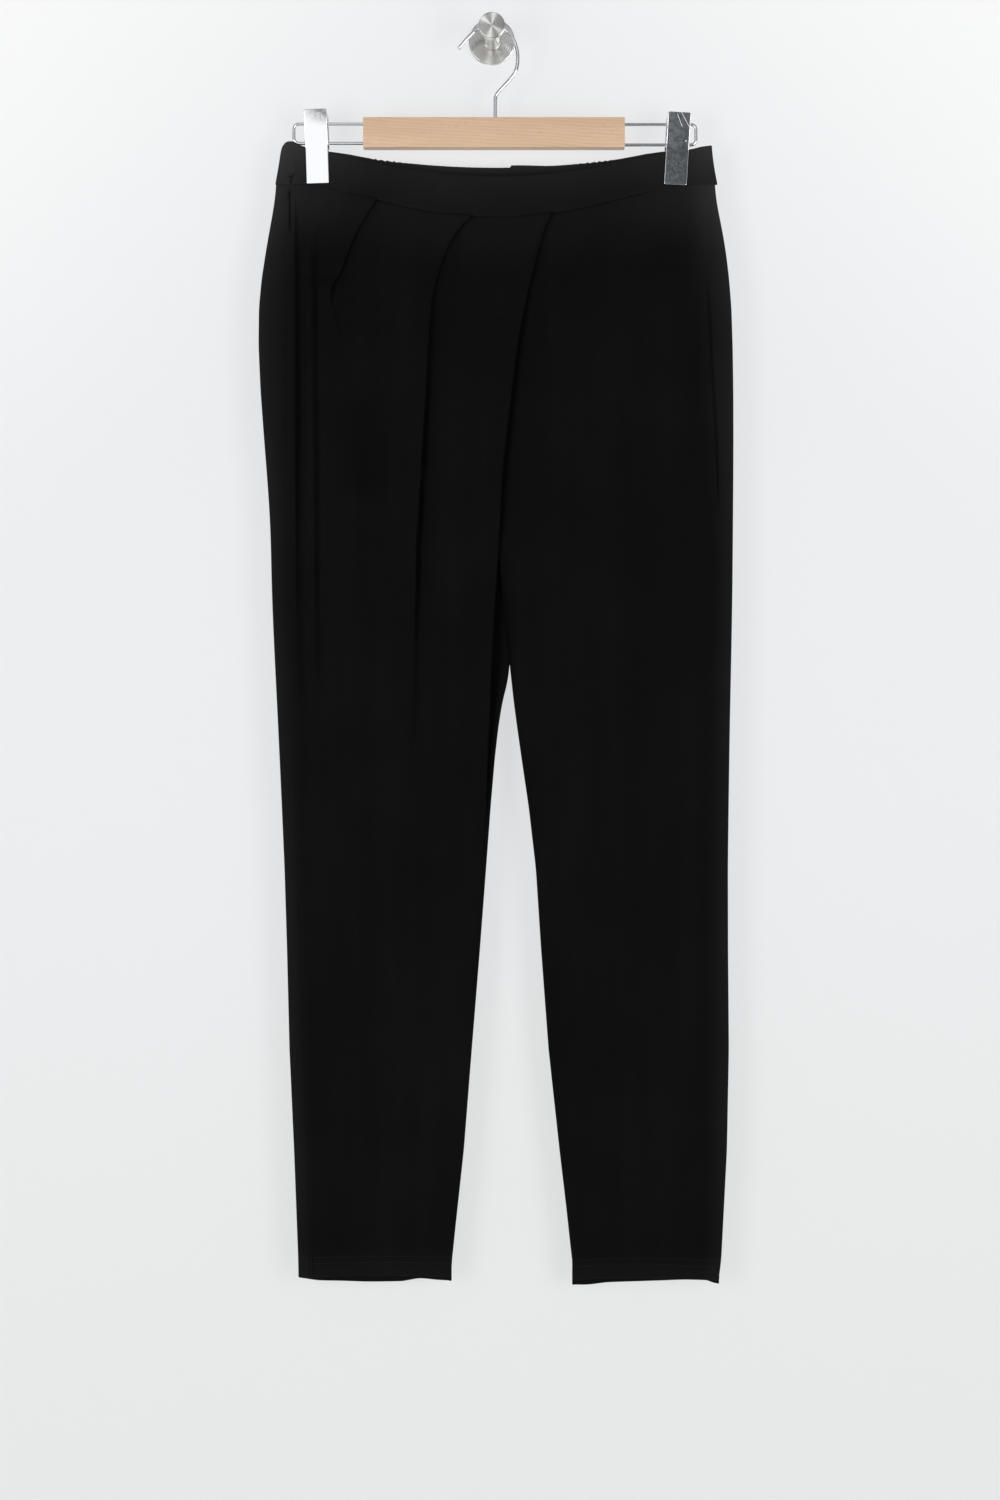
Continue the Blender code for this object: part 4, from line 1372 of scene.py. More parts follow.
@dataclass
class Columns:
    """A panel's points, as rows by columns, before they are laid on the form."""

    x: Array
    height: Array
    low: Array
    lowered: Array

    @classmethod
    def plain(cls, x: Array, height: Optional[Array] = None) -> "Columns":
        """Return columns that follow the form."""
        return cls(x, np.zeros_like(x) if height is None else height, np.zeros_like(x), np.zeros_like(x))

    def joined(self, other: "Columns") -> "Columns":
        """Return these columns and then the others."""
        mine, theirs = (list(vars(columns).values()) for columns in (self, other))
        return Columns(*(np.concatenate(pair, axis=1) for pair in zip(mine, theirs)))


@dataclass
class Panel:
    """One leg panel of jersey, from the waistband's seam to its turned-up hem."""

    form: Form
    side: Side
    facing: Facing
    folds: tuple[SoftFold, ...]
    shades: tuple[Union[SoftFold, FoldShade], ...] = ()
    tucked: float = 0.0012
    hem_turn: float = 0.019
    hem_swell: float = 0.0004
    needle_rows: tuple[float, float] = (0.0168, 0.0114)
    needle_dent: float = 0.00028
    needle_groove: float = 0.0009
    hem_fold_radius: float = 0.00058
    thigh_top: float = 0.27
    knee: float = 0.74
    row_pitches: tuple[float, float, float] = (0.0028, 0.0046, 0.0066)
    hem_pitch: float = 0.0008
    edge_columns: int = 13
    edge_reach: float = 0.013
    middle_columns: int = 52
    crowding: float = 1.0
    floor: float = 0.0013
    curl: float = 0.00045
    # Painted sheen near the outer side seam, under the band.
    side_lift: float = 0.9

    @property
    def name(self) -> str:
        """The panel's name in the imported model."""
        return f"{self.facing.label}_{self.side.label}"

    def levels(self) -> Array:
        """Return the rows' levels: close together at the waist, the crotch and the hem."""
        start, end = self.form.side_drop - self.tucked, self.form.hem_drop[self.side]
        seam = start + np.concatenate([[0.0, self.tucked / 2], self.tucked + seam_places(7, 0.006)])
        stops = seam[-1] + 0.0025, self.thigh_top, self.knee, end - 0.026
        spans = [np.arange(*span) for span in zip(stops, stops[1:], self.row_pitches)]
        hem = np.arange(end - 30 * self.hem_pitch, end + 0.0001, self.hem_pitch)
        return np.concatenate([seam, *spans, hem])

    def inner_edge(self, level: Array) -> Array:
        """Return where the panel's inner edge lies."""
        parted = rise(level, self.form.crotch_top, self.form.gap_top)
        return self.form.inner[self.side](level) + self.side.value * self.form.edge_inset * (2 * parted - 1)

    def columns(self, level: Array) -> Columns:
        """Return the columns of each row."""
        form, sign = self.form, self.side.value
        outer = (form.outer[self.side](level) - sign * form.edge_inset)[:, None]
        inner = self.inner_edge(level)[:, None]
        rounded_edge = form.edge_places(self.edge_columns, self.edge_reach)[None, :]
        flat_edge = seam_places(self.edge_columns, self.edge_reach)[None, :]
        parted = rise(level, form.crotch_top - 0.02, form.crotch)[:, None]
        near = outer - sign * rounded_edge
        far = inner + sign * mix(flat_edge, rounded_edge, parted)[:, ::-1]
        share = np.linspace(0, 1, self.middle_columns + 2)[None, 1:-1] ** self.crowding
        middle = mix(near[:, -1:], far[:, :1], share)
        return Columns.plain(np.concatenate([near, middle, far], axis=1))

    def hem_curve(self, x: Array, level: Array) -> Array:
        """Return how the hem dips between the seams.

        Args:
            x: Places across the garment.
            level: The level of each row.

        Returns:
            How much lower than at the seams a row hangs at x.
        """
        form = self.form
        start, end = form.outer[self.side](level), form.inner[self.side](level)
        u = np.clip((x - start) / (end - start), 0, 1)
        shown = rise(level, form.hem_dip_from, form.hem_drop[self.side] - self.hem_turn)
        return curve_through(HEM_CURVES[self.facing, self.side])(u) * shown

    def relief(self, x: Array, drop: Array, depth: Array) -> Array:
        """Return the height of the soft folds, less where the cloth lies near its neighbour.

        Args:
            x: Places across the garment.
            drop: Their drops.
            depth: How far the smooth form lies there from the hanging plane.

        Returns:
            The height at each place.
        """
        total = sum(fold.height(x, drop) for fold in self.folds)
        deepest = -0.8 * np.maximum(depth - self.form.cloth, 0)
        return np.where(total < 0, np.maximum(total, deepest), total * np.clip(depth / 0.0025, 0, 1))

    def surface(self) -> Array:
        """Return the grid of points on the middle of the cloth, down to the hem's fold."""
        form = self.form
        level = self.levels()
        grid = self.columns(level)
        x, height = grid.x, grid.height
        rows = level[:, None] + np.zeros_like(x)
        drop = rows + form.sag(x, rows, self.facing) + self.hem_curve(x, rows)
        depth = form.middle_depth(x, drop, self.side, self.floor)
        depth = mix(depth + self.relief(x, drop, depth), grid.low, grid.lowered)
        from_band = rows - level[0] - self.tucked
        seam = form.seam_depth * fall(from_band, 0, form.seam_width)
        seam = seam + form.seam_depth * fall(from_band, -0.0006, 0.0009)
        from_hem = form.hem_drop[self.side] - rows
        swell = self.hem_swell * fall(from_hem, self.needle_rows[0], self.needle_rows[0] + 0.0015)
        grooves = (((from_hem - row) / self.needle_groove) ** 2 for row in self.needle_rows)
        dents = sum(self.needle_dent * np.exp(-groove) for groove in grooves)
        raised = depth + height + (swell - seam - dents) * np.clip(depth / 0.004, 0, 1)
        raised = self.close_seams(x, raised, level, grid.lowered)
        middle = (form.outer[self.side](level) + self.inner_edge(level))[:, None] / 2
        x = x + np.sign(middle - x) * self.curl * fall(depth, 0.0, EDGE_ROUND)
        return np.stack([x, form.hang_y + self.facing.value * raised, -drop], axis=-1)

    def close_seams(self, x: Array, depth: Array, level: Array, lowered: Array) -> Array:
        """Turn the cloth in at the flat seam at the panel's inner edge, above the crotch.

        Args:
            x: Places across the garment.
            depth: Distances from the hanging plane.
            level: The level of each row.
            lowered: Where the cloth follows a strip of its own instead of the form.

        Returns:
            The new distances.
        """
        form = self.form
        away = np.abs(x - self.inner_edge(level)[:, None])
        flat = fall(level, form.crotch_top - 0.02, form.crotch)[:, None]
        turned_in = depth - form.seam_depth * flat * fall(away, 0, form.seam_width)
        return np.where(lowered > 0.5, depth, np.maximum(turned_in, self.least_depth(x, level)))

    def least_depth(self, x: Array, level: Array) -> Array:
        """Return the least depth of the middle of the cloth."""
        return np.full_like(x, LEAST_DEPTH)

    def hemmed(self, points: Array) -> Array:
        """Add the hem's fold and the layer that is turned up inside.

        Args:
            points: The grid down to the hem's fold.

        Returns:
            The grid with the rows of the fold and of the turned-up layer.
        """
        last = points[-1]
        normal = across_normals(points)[-1]
        inward = normal * -np.sign((normal[:, 1] * self.facing.value).mean())
        depth = np.abs(last[:, 1] - self.form.hang_y)
        radius = (self.hem_fold_radius * np.clip(depth / 0.003, 0.25, 1))[:, None]
        added = []
        for turn in np.linspace(0, np.pi, 8)[1:]:
            added.append(last + inward * radius * (1 - np.cos(turn)) - UP * radius * np.sin(turn))
        turned_up = [row for row in points[-2:0:-1] if row[0, 2] - last[0, 2] < self.hem_turn]
        added += [row + inward * 2 * radius for row in turned_up[::2]]
        return np.concatenate([points, np.array(added)], axis=0)

    def nap(self, points: Array) -> Array:
        """Return the painted light: painted sheen by the side seam, the band, the outer edge and the hem,
        painted shade beside the folds.

        Args:
            points: The grid of the whole cloth.

        Returns:
            The painted light at each of its points.
        """
        x, drop = points[..., 0], -points[..., 2]
        away = np.abs(self.form.outer[self.side](drop) - x)
        below = drop - self.form.band_low[self.facing](x)
        upper = fall(below, 0.03, 0.16) + 2.0 * fall(below, 0.0, 0.07)
        leg = 1 - 0.4 * rise(drop, 0.98, 1.1)
        reach = mix(0.048, 0.023, rise(drop, 0.22, 0.5))
        # Painted sheen towards the outer side seam, stronger under the band and weaker low on the leg.
        side = fall(away / reach, 0.0, 1.0) ** 1.5 * (leg + self.side_lift * upper)
        # A narrow painted highlight along the outer edge, on the upper leg.
        rim = 0.7 * fall(away, 0.0, 0.009) * fall(below, 0.1, 0.4)
        # Painted sheen just under the band, stronger near the side.
        top = 0.6 * fall(below, 0.0, 0.06) + fall(away, 0.02, 0.11) * fall(below, 0.0, 0.075)
        # Painted sheen towards the hem's fold.
        end = self.form.hem_drop[self.side]
        hem = rise(drop, end - 0.03, end)
        return shaded(np.hypot(side, top) + rim + 0.5 * hem, self.shades, x, drop)

    def stitch_lines(self, points: Array) -> list[Array]:
        """Return the twin-needle rows.

        Args:
            points: The grid down to the hem's fold.

        Returns:
            Points of each row, just under the outside of the cloth.
        """
        level = self.levels()
        outwards = (0.0, self.facing.value * (self.form.cloth / 2 - 0.00002), 0.0)
        lines = []
        for row in self.needle_rows:
            line = points[int(np.argmin(np.abs(self.form.hem_drop[self.side] - level - row)))]
            depth = np.abs(line[:, 1] - self.form.hang_y)
            lines.append(line[depth > 0.0022] + outwards)
        return lines

    def build(self, jersey: Material, thread: Material) -> None:
        outside = self.surface()
        cloth = self.hemmed(outside)
        sheet = Sheet(f"{self.name}_leg_cloth", cloth, self.facing, self.form.cloth, self.nap(cloth))
        piece = sheet.build(jersey)
        dress(piece, "jersey", f"{self.name}_panel", f"{self.name}_hem")
        stitches = StitchRow().build(f"{self.name}_hem_stitches", self.stitch_lines(outside), thread)
        dress(stitches, "jersey")
        sheet.declare(piece, [f"clip_{self.side.label}_front"], with_pieces=[stitches])


HEM_CURVES = {
    (Facing.FRONT, Side.RIGHT): ((0.0, 0.0), (0.15, -0.0012), (0.5, -0.0026), (0.8, -0.0022), (1.0, -0.0006)),
    (Facing.FRONT, Side.LEFT): ((0.0, 0.0), (0.2, -0.0016), (0.5, -0.003), (0.85, -0.002), (1.0, 0.0004)),
    (Facing.BACK, Side.RIGHT): ((0.0, 0.0014), (0.02, 0.0022), (0.14, 0.005), (0.27, 0.0056), (0.47, 0.0065),
                                (0.66, 0.0061), (0.8, 0.0033), (0.93, 0.0044), (1.0, 0.0044)),
    (Facing.BACK, Side.LEFT): ((0.0, 0.0044), (0.03, 0.004), (0.09, 0.002), (0.2, 0.002), (0.4, 0.003),
                               (0.58, 0.0038), (0.75, 0.0044), (0.91, 0.0062), (1.0, 0.0054)),
}


@dataclass
class LeftFrontPanel(Panel):
    """The left front, whose centre edge is sewn in under the lapped edge of the right front."""

    tuck: float = 0.0104
    tuck_end: Place = (0.4, 0.445)
    over_thigh: float = 0.0027
    middle_columns: int = 60
    crowding: float = 1.5

    def inner_edge(self, level: Array) -> Array:
        """Return where the panel's inner edge lies."""
        tucked = self.form.levelled(LAP_EDGE, self.facing)(level) - self.tuck
        inseam = super().inner_edge(level)
        return mix(tucked, inseam, rise(level, *self.tuck_end))

    def least_depth(self, x: Array, level: Array) -> Array:
        """Return the least depth, which keeps the inner edge over the right leg's inner thigh."""
        form = self.form
        close = fall(np.abs(x - self.inner_edge(level)[:, None]), 0.01, 0.03)
        over = rise(level, form.crotch_top, 0.456) * fall(level, form.gap_top - 0.008, 0.59)
        return LEAST_DEPTH + (self.over_thigh - LEAST_DEPTH) * close * over[:, None]


@dataclass
class RightFrontPanel(Panel):
    """The right front, with knife pleats and a lapped one whose edge runs on down the inner thigh."""

    lap_overlap: float = 0.012
    lap_under: float = 0.002
    lap_reach: float = 0.055
    thigh_turn: float = 112.0
    thigh_bend: float = 0.0024
    thigh: Place = (0.443, 0.472)
    hollow_from: Place = (0.455, 0.49)
    hollow_to: Place = (0.64, 0.72)
    hollow: float = -0.003
    shallow: float = 0.0012
    under_left: float = 0.0035
    merge: Place = (0.69, 0.76)
    plain_reach: float = 0.016
    strip_columns: int = 9
    lap_columns: int = 18
    pleats: tuple[tuple[KnifePleat, int], ...] = ((SIDE_TUCK, 9), (SIDE_PLEAT, 24), (MIDDLE_PLEAT, 22))

    def columns(self, level: Array) -> Columns:
        """Return the columns of each row."""
        form = self.form
        outer = (form.outer[self.side](level) + form.edge_inset)[:, None]
        grid = Columns.plain(outer + form.edge_places(self.edge_columns, self.edge_reach)[None, :])
        for pleat, count in self.pleats:
            x, height = pleat.section(level, form.levelled(pleat.edge, self.facing)(level))
            grid = self.spanned(grid, x[:, :1], count)
            grid.height += height[:, :1] * fall(x[:, :1] - grid.x, 0.0, pleat.reach)
            grid = grid.joined(Columns.plain(x, height))
        lap, raised = self.lap(level)
        grid = self.spanned(grid, lap.x[:, :1], self.lap_columns)
        grid.height += raised * fall(lap.x[:, :1] - grid.x, 0.0, self.lap_reach)
        return grid.joined(lap)

    @staticmethod
    def spanned(grid: Columns, end: Array, count: int) -> Columns:
        """Add evenly spaced columns from the last one to an end."""
        share = np.linspace(0, 1, count + 2)[None, 1:-1]
        return grid.joined(Columns.plain(mix(grid.x[:, -1:], end, share)))

    def lap(self, level: Array) -> tuple[Columns, Array]:
        """Return the lapped pleat's columns, and how far it lifts the cloth beside it.

        Above the crotch the cloth turns under at the lap's edge, runs back and ends in the centre seam.
        Below it the edge stands over a hollow strip of inner thigh that runs on to the inseam, and further
        down it merges with the inseam.

        Args:
            level: The row's levels.

        Returns:
            The columns and the lift.
        """
        edge = self.form.levelled(LAP_EDGE, self.facing)(level)[:, None]
        inseam = super().inner_edge(level)[:, None]
        sewn_x, height = self.sewn_lap(level, edge)
        thigh_x, low = self.thigh_lap(level, edge, inseam)
        plain_x = inseam - self.form.edge_places(sewn_x.shape[1], self.plain_reach)[None, ::-1]
        to_thigh = rise(level, *self.thigh)[:, None]
        to_plain = rise(level, *self.merge)[:, None]
        x = mix(mix(sewn_x, thigh_x, to_thigh), plain_x, to_plain)
        lift = 1 - to_thigh
        lowered = np.broadcast_to(to_thigh * (1 - to_plain), x.shape)
        return Columns(x, height * lift, low, lowered), height[:, :1] * lift

    def sewn_lap(self, level: Array, edge: Array) -> tuple[Array, Array]:
        """Return the section above the crotch: a fold, and a little cloth up to the centre seam.

        Args:
            level: The row's levels.
            edge: Where the lap's edge lies in each row.

        Returns:
            X and height above the form, as rows by columns.
        """
        bend = curve_through(LAP_BEND)(level)[:, None]
        x, height = fold_path(edge, np.full_like(edge, self.lap_overlap), np.full_like(edge, math.pi), bend,
                              SIDE_PLEAT.bend_steps, SIDE_PLEAT.run_steps)
        under = x[:, -1:] + self.lap_under * np.linspace(0, 1, self.strip_columns + 1)[None, 1:]
        return np.append(x, under, axis=1), np.append(height, np.zeros_like(under), axis=1)

    def thigh_lap(self, level: Array, edge: Array, inseam: Array) -> tuple[Array, Array]:
        """Return the section below the crotch: a fold down from the edge, and the hollow inner thigh.

        Args:
            level: The row's levels.
            edge: Where the lap's edge lies in each row.
            inseam: Where the inseam lies in each row.

        Returns:
            X and distance from the hanging plane, as rows by columns.
        """
        form = self.form
        hidden = (rise(level, *self.thigh) * fall(level, form.gap_top - 0.012, form.gap_top + 0.006))[:, None]
        over = form.middle_depth(edge, level[:, None], self.side, self.floor)
        deep = rise(level, *self.hollow_from) * fall(level, *self.hollow_to)
        foot = mix(self.shallow, self.hollow, deep)[:, None]
        turn = math.radians(self.thigh_turn)
        in_bends = 2 * self.thigh_bend / turn * (1 - math.cos(turn))
        straight = (np.maximum(over - foot, 1.1 * in_bends) - in_bends) / math.sin(turn)
        x, height = fold_path(edge, straight, np.full_like(edge, turn), np.full_like(edge, self.thigh_bend),
                              SIDE_PLEAT.bend_steps, SIDE_PLEAT.run_steps)
        reach = np.maximum(inseam + self.under_left * hidden - x[:, -1:], 0.0006)
        share = 1 - np.linspace(1, 0, self.strip_columns + 1)[None, 1:] ** (1 / form.dome_power)
        climb = mix(foot, self.shallow, rise(share, 0.15, 0.95))
        rounding = mix(np.sqrt(np.clip(1 - share * share, 0, 1)), 1.0, hidden)
        low = np.append(over + height - height[:, :1], climb * rounding, axis=1)
        low[:, -1:] = np.maximum(low[:, -1:], LEAST_DEPTH)
        return np.append(x, x[:, -1:] + reach * share, axis=1), low

    def inner_edge(self, level: Array) -> Array:
        """Return where the seam under the lap, and then the inseam, lies."""
        seam = self.form.levelled(LAP_EDGE, self.facing)(level) - self.lap_overlap + self.lap_under
        return mix(seam, super().inner_edge(level), rise(level, *self.thigh))


# ---- Waistband ------------------------------------------------------------------------------------

@dataclass(frozen=True)
class Gathers:
    """Small upright puckers where elastic is caught in the band, strongest at its two ends."""

    start: float
    end: float
    pitch: float
    depth: float
    lift: float
    margin: float = 0.004
    end_share: float = 0.16
    middle: float = 0.16

    def near(self, x: float) -> bool:
        """Return whether the band puckers at x or close by."""
        return self.start - self.margin < x < self.end + self.margin

    def strength(self, x: Array) -> Array:
        """Return how strongly the band puckers at x."""
        strong = self.end_share * (self.end - self.start)
        inside = rise(x, self.start, self.start + 0.005) * fall(x, self.end - 0.005, self.end)
        near_end = np.minimum(x - self.start, self.end - x)
        return inside * mix(1.0, self.middle, rise(near_end, strong * 0.6, strong * 1.1))

    def wave(self, x: Array) -> Array:
        """Return the puckers' uneven wave, from -1 to 1."""
        turn = 2 * np.pi * x / self.pitch
        drift = 0.9 * np.sin(x * 61.0) + 0.5 * np.sin(x * 173.0 + 1.0)
        return 0.62 * np.sin(turn + drift) + 0.38 * np.sin(1.71 * turn + 2.3 * drift + 0.8)


@dataclass
class Waistband:
    """A doubled band, folded over at its upper edge and sewn to the panels along its lower one."""

    form: Form
    facing: Facing
    gathers: Optional[Gathers] = None
    cloth: float = 0.0009
    layer_pitch: float = 0.0011
    column_pitch: float = 0.0021
    gather_pitch: float = 0.0008
    pucker_end: float = -0.173
    outer_rows: int = 24
    fold_rows: int = 8
    inner_rows: int = 7
    step_x: float = 0.0172
    step_drop: float = 0.002
    floor: float = 0.0017
    full_depth: float = 0.003
    curl: float = 0.0004

    def places(self) -> Array:
        """Return the columns' X at the lower edge, from the right side seam to the left one."""
        form = self.form
        edge = form.edge_places(13, 0.012)
        low = float(form.band_side[Side.RIGHT](form.side_drop)) + form.edge_inset
        high = float(form.band_side[Side.LEFT](form.side_drop)) - form.edge_inset
        start, end = low + edge[-1], high - edge[-1]
        x = [start]
        while x[-1] < end - self.column_pitch:
            gathered = self.gathers is not None and self.gathers.near(x[-1])
            puckered = self.facing is Facing.FRONT and x[-1] < self.pucker_end
            x.append(x[-1] + (self.gather_pitch if gathered or puckered else self.column_pitch))
        return np.concatenate([low + edge, x[1:], (high - edge)[::-1]])

    def outer_grid(self) -> Array:
        """Return the grid on the middle of the outer layer, from the lower seam up."""
        form = self.form
        base = self.places()
        low_end, high_end = base[0], base[-1]
        seam_rows = (0.0, 0.02, 0.045, 0.08)
        share = np.append(seam_rows, np.linspace(0.13, 1.0, self.outer_rows - 4))[:, None]
        x = np.tile(base, (len(share), 1))
        top, bottom = form.band_high[self.facing], form.band_low[self.facing]
        for _ in range(4):
            drop = mix(bottom(x), top(x) + (self.layer_pitch + self.cloth) / 2, share)
            right = form.band_side[Side.RIGHT](drop) + form.edge_inset
            left = form.band_side[Side.LEFT](drop) - form.edge_inset
            x = self.stretched(base, low_end, high_end, right, left)
        if self.facing is Facing.BACK:
            step = rise(x, self.step_x - 0.0006, self.step_x + 0.0006) * rise(0.06 - x, 0.0, 0.04)
            drop = drop - self.step_drop * step * rise(share, 0.5, 1.0)
        depth = self.band_depth(x, drop, right, left)
        swell = form.band_swell - form.seam_depth * 0.8 * fall(share, 0.0, 0.075)
        depth = depth + swell * np.clip(depth / self.full_depth, 0, 1)
        if self.gathers is not None:
            wave = self.gathers.strength(x) * self.gathers.wave(x)
            depth = depth + self.gathers.depth * wave * (1 - 0.75 * fall(share, 0.0, 0.5))
            drop = drop - self.gathers.lift * wave * rise(share, 0.55, 1.0)
        depth = depth + self.band_relief(x, drop, depth)
        x = x + np.where(x < form.centre_x, 1, -1) * self.curl * fall(depth, 0.0, EDGE_ROUND)
        y = form.hang_y + self.facing.value * np.maximum(depth, LEAST_DEPTH)
        return np.stack([x, y, -drop], axis=-1)

    def band_depth(self, x: Array, drop: Array, right: Array, left: Array) -> Array:
        """Return how far the middle of the outer layer lies from the hanging plane.

        Args:
            x: Places across the garment.
            drop: Their drops.
            right: Where the band's right side lies at those drops.
            left: Where its left side lies.

        Returns:
            The depths, 0 at the band's sides.
        """
        form = self.form
        shape = form.dome(x, right, left) * (1 - form.grip(x, drop))
        close = np.minimum(x - right, left - x)
        return np.maximum((form.depth(drop) - form.cloth / 2) * shape, self.floor * edge_round(close))

    def band_relief(self, x: Array, drop: Array, depth: Array) -> Array:
        """Return the height of the band's soft folds."""
        folds = FRONT_BAND_FOLDS if self.facing is Facing.FRONT else BACK_BAND_FOLDS
        total = sum(fold.height(x, drop) for fold in folds)
        deepest = -0.7 * np.maximum(depth - 0.0012, 0)
        return np.maximum(total, deepest) * np.clip(depth / self.full_depth, 0, 1)

    @staticmethod
    def stretched(base: Array, low: float, high: float, right: Array, left: Array) -> Array:
        """Move the columns near each end with that end's outline, and leave the middle in place.

        Args:
            base: The columns' places.
            low: The right end of base.
            high: The left end of base.
            right: Where the band's right side lies in each row.
            left: Where its left side lies.

        Returns:
            The places, as rows by columns.
        """
        moved_low = (right - low) * fall(base - low, 0.01, 0.06)
        return base + moved_low + (left - high) * fall(high - base, 0.01, 0.06)

    def surface(self) -> Array:
        """Return the whole grid: up the outside, over the fold and down the inside."""
        outer = self.outer_grid()
        normal = across_normals(outer)
        inward = -normal * np.sign((normal[..., 1] * self.facing.value).mean())
        depth = np.abs(outer[..., 1] - self.form.hang_y)
        inner = outer + inward * (self.layer_pitch * np.clip(depth / self.floor, 0.3, 1.0))[..., None]
        inner_depth = (inner[..., 1] - self.form.hang_y) * self.facing.value
        least = np.minimum(0.0006, depth * 0.35)
        inner[..., 1] = self.form.hang_y + self.facing.value * np.maximum(inner_depth, least)
        centre, out = (outer[-1] + inner[-1]) / 2, (outer[-1] - inner[-1]) / 2
        up = UP * np.linalg.norm(out, axis=1)[:, None]
        turns = np.linspace(0, np.pi, self.fold_rows + 1)[1:-1]
        fold = [centre + out * np.cos(turn) + up * np.sin(turn) for turn in turns]
        rows = np.linspace(len(outer) - 1, 1, self.inner_rows + 4).round().astype(int)
        return np.concatenate([outer, np.array(fold), inner[rows]], axis=0)

    def nap(self, points: Array) -> Array:
        """Return the painted light: painted sheen towards the upper edge and the side seams, painted shade in
        the pucker.

        Args:
            points: The grid of the whole band.

        Returns:
            The painted light at each of its points.
        """
        x, drop = points[..., 0], -points[..., 2]
        low, high = self.form.band_low[self.facing](x), self.form.band_high[self.facing](x)
        up = np.clip((low - drop) / (low - high), 0, 1)
        from_side = np.minimum(x - x.min(), x.max() - x)
        # Painted sheen towards the band's two ends, weaker at its left end.
        ends = 3.0 * fall(from_side, 0.0, 0.105) + 3.0 * fall(from_side, 0.0, 0.035)
        ends = np.where(x < self.form.centre_x, ends, 0.72 * ends)
        if self.facing is Facing.FRONT:
            return shaded(0.67 + up ** 1.3 + ends * (0.45 + 0.55 * up), BAND_SHADES, x, drop)
        # Painted light on the back band's inside face near its upper edge, where the front band shades it.
        inside = (np.arange(len(points)) > self.outer_rows)[:, None]
        return 0.67 + up ** 1.3 + 0.6 * ends * (0.45 + 0.55 * up) + 2.5 * inside * rise(up, 0.6, 1.0)

    def build(self, jersey: Material) -> None:
        points = self.surface()
        node = f"{self.facing.label}_waistband"
        sheet = Sheet(node + "_cloth", points, self.facing, self.cloth, self.nap(points))
        piece = sheet.build(jersey)
        dress(piece, "jersey", node)
        sheet.declare(piece, [f"clip_{side.label}_{self.facing.label}" for side in Side])


FRONT_BAND_FOLDS = (
    SoftFold(mm(100, -185.2, 118, -185, 140, -184.2), 0.0016, 0.003, 0.01),
    SoftFold(mm(112, -179.5, 126, -176.8, 140, -174.8), 0.0018, 0.0022, 0.008),
    SoftFold(mm(106, -174, 118, -176.2, 130, -179.5), -0.001, 0.0016, 0.006),
    SoftFold(mm(105, -140, 120, -137, 136, -133), -0.001, 0.005, 0.012),
    SoftFold(mm(112, 130, 126, 134, 142, 140), -0.001, 0.006, 0.012),
    SoftFold(mm(104, 185, 118, 186, 136, 188), 0.0008, 0.004, 0.012),
)
BACK_BAND_FOLDS = (
    SoftFold(mm(104, -140, 118, -138, 136, -136), -0.001, 0.005, 0.012),
    SoftFold(mm(104, 143, 118, 141, 138, 138), -0.001, 0.005, 0.012),
)


@dataclass
class Leggings:
    """The whole garment."""

    form: Form
    jersey: Jersey = Jersey()
    thread: Thread = Thread()

    def build(self) -> None:
        """Make every cut piece."""
        cloth, thread = self.jersey.material(), self.thread.material()
        panels = (
            RightFrontPanel(self.form, Side.RIGHT, Facing.FRONT, RIGHT_FRONT_FOLDS, RIGHT_FRONT_SHADES,
                            side_lift=0.5),
            LeftFrontPanel(self.form, Side.LEFT, Facing.FRONT, LEFT_FRONT_FOLDS, LEFT_FRONT_SHADES),
            Panel(self.form, Side.RIGHT, Facing.BACK, RIGHT_BACK_FOLDS),
            Panel(self.form, Side.LEFT, Facing.BACK, LEFT_BACK_FOLDS),
        )
        for panel in panels:
            panel.build(cloth, thread)
        Waistband(self.form, Facing.FRONT).build(cloth)
        elastic = Gathers(-0.112, 0.1105, pitch=0.0056, depth=0.00055, lift=0.00075)
        Waistband(self.form, Facing.BACK, elastic).build(cloth)


# ---- Hanger ---------------------------------------------------------------------------------------

